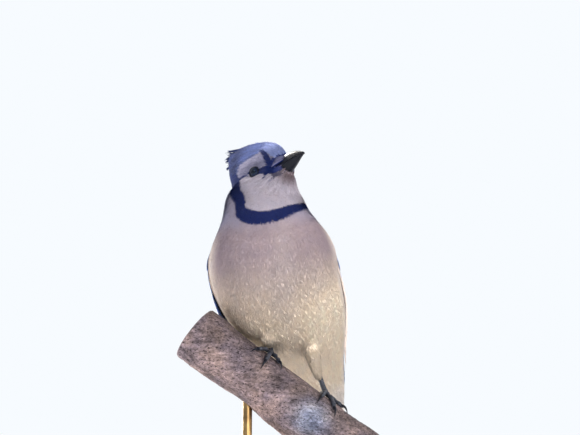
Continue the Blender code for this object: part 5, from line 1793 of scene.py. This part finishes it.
def stand():
    profile = [(BASE_R * f, 0.0) for f in (0.05, 0.5, 0.9)] + [(BASE_R - 1.6, 0.0), (BASE_R - 0.4, 0.5), (BASE_R, 1.6), (BASE_R, 5.2)]
    profile += [(BASE_R - 0.3, 5.9), (BASE_R - 1.4, 6.3), (BASE_R - 1.6, 6.9)]
    for f in np.linspace(0.0, 1.0, 12):                         # a hollow moulding up to the top
        profile.append((BASE_R - 1.8 - 6.2 * (1.0 - math.cos(f * math.pi / 2.0)), 7.2 + 7.6 * math.sin(f * math.pi / 2.0)))
    profile += [(BASE_R - 8.6, 15.3), (BASE_R - 9.6, 15.8), (BASE_R - 11.0, BASE_H), (BASE_R * 0.6, BASE_H), (BASE_R * 0.3, BASE_H), (1.0, BASE_H)]
    verts, faces = lathe(profile)
    build("base_turned", verts, faces, WOOD, replaces=("stand_base",), sharp=35)
    for n, x in enumerate(ROD_X):
        y = PERCH_AT[1] + REAR
        low = [(ROD_R + 0.1, BASE_H - 0.5), (ROD_R + 3.6, BASE_H - 0.5), (ROD_R + 4.0, BASE_H + 0.5), (ROD_R + 3.8, BASE_H + 1.5), (ROD_R + 2.4, BASE_H + 2.2), (ROD_R + 1.7, BASE_H + 3.6), (ROD_R + 1.6, BASE_H + 5.6), (ROD_R + 1.1, BASE_H + 6.4), (ROD_R + 0.1, BASE_H + 6.6)]
        verts, faces = lathe(low, 40, (x, y))
        build("collar_%d" % (n + 1), verts, faces, METAL, sharp=35)
    for name in ("stand_rod_1", "stand_rod_2"):
        NODES[name].data.materials.clear()
        NODES[name].data.materials.append(METAL)


stand()


# ---------------------------------------------------------------- floor, light and camera
def stage():
    m, tree, shader = material("studio_floor", 0.75, Specular_IOR_Level=0.15)
    faint = ramp(tree, noise_at(tree, place(tree), 3.0, 3.0), (0.3, tuple(lin(218, 221, 225))), (0.7, tuple(lin(228, 230, 233))))
    tree.links.new(faint, shader.inputs["Base Color"])
    mesh = bpy.data.meshes.new("floor")
    a = np.linspace(0.0, 2.0 * math.pi, 64, endpoint=False)
    mesh.from_pydata([(6.0 * math.cos(v), 6.0 * math.sin(v), 0.0) for v in a], [], [tuple(range(64))])
    mesh.materials.append(m)
    floor = bpy.data.objects.new("floor", mesh)
    bpy.context.scene.collection.objects.link(floor)


def lamp(name, kind, where, aim, power, colour, size=None):
    data = bpy.data.lights.new(name, kind)
    data.energy, data.color = power, colour
    if kind == "AREA":
        data.shape, data.size = "DISK", size
    elif kind == "SPOT":
        data.spot_size, data.spot_blend, data.shadow_soft_size = size, 0.8, 0.05
    else:
        data.angle = size
    obj = bpy.data.objects.new(name, data)
    obj.location = where
    obj.rotation_euler = (Vector(aim) - Vector(where)).to_track_quat("-Z", "Y").to_euler()
    obj.visible_camera = False
    bpy.context.scene.collection.objects.link(obj)


stage()
WORLD = bpy.data.worlds.new("studio")
bpy.context.scene.world = WORLD
WORLD.use_nodes = True
# soft light: bright towards the front, dimmer behind
tree = WORLD.node_tree
where = tree.nodes.new("ShaderNodeTexCoord")
side = tree.nodes.new("ShaderNodeVectorMath")
side.operation = "DOT_PRODUCT"
tree.links.new(where.outputs["Generated"], side.inputs[0])
side.inputs[1].default_value = unit((0.45, 0.85, 0.25))
share = tree.nodes.new("ShaderNodeMapRange")
share.inputs["From Min"].default_value, share.inputs["From Max"].default_value = -1.0, 1.0
tree.links.new(side.outputs["Value"], share.inputs["Value"])
sky = tree.nodes.new("ShaderNodeValToRGB")
for spot, tone in ((0.0, (0.46, 0.48, 0.59)), (0.5, (0.66, 0.68, 0.72)), (0.80, (0.93, 0.965, 1.0)), (1.0, (0.93, 0.965, 1.0))):
    stop = sky.color_ramp.elements[0] if spot == 0.0 else (sky.color_ramp.elements[-1] if spot == 1.0 else sky.color_ramp.elements.new(spot))
    stop.position, stop.color = spot, (*tone, 1.0)
tree.links.new(share.outputs["Result"], sky.inputs["Fac"])
tree.links.new(sky.outputs["Color"], tree.nodes["Background"].inputs["Color"])
lamp("key", "SUN", (-0.74, 0.84, 1.35), (0.0, 0.0, 0.2), 4.6, (1.0, 0.95, 0.87), math.radians(4.0))
BILL_AT = (from_head(np.array([[27.0, 0.0, -2.0]]))[0] + (0.0, REAR, LIFT)) / 1000.0
lamp("bill", "SPOT", BILL_AT + 0.6 * np.array(unit((-0.24, 0.40, 0.88))), BILL_AT, 26.0, (1.0, 0.97, 0.93), math.radians(3.0))
lamp("side", "AREA", (-0.40, 0.54, 0.17), (-0.03, 0.0, 0.205), 3.0, (1.0, 0.93, 0.82), 0.12)
lamp("fill", "AREA", (0.5, -0.62, 0.10), (0.02, 0.0, 0.17), 10.5, (1.0, 0.94, 0.87), 0.85)
lamp("glint", "AREA", (-0.5, -0.9, 0.8), (0.0, 0.0, 0.25), 3.0, (0.95, 0.97, 1.0), 0.16)

CAMERA = bpy.data.cameras.new("camera")
CAMERA.lens, CAMERA.sensor_width = 72.6, 36.0
CAMERA.clip_start, CAMERA.clip_end = 0.01, 50.0
EYE_POINT = bpy.data.objects.new("camera", CAMERA)
EYE_POINT.location = (0.0, -0.758, 0.030)
EYE_POINT.rotation_euler = (Vector((0.0, -0.008, 0.246)) - EYE_POINT.location).to_track_quat("-Z", "Y").to_euler()
bpy.context.scene.collection.objects.link(EYE_POINT)
bpy.context.scene.camera = EYE_POINT
bpy.context.scene.view_settings.view_transform = "Standard"
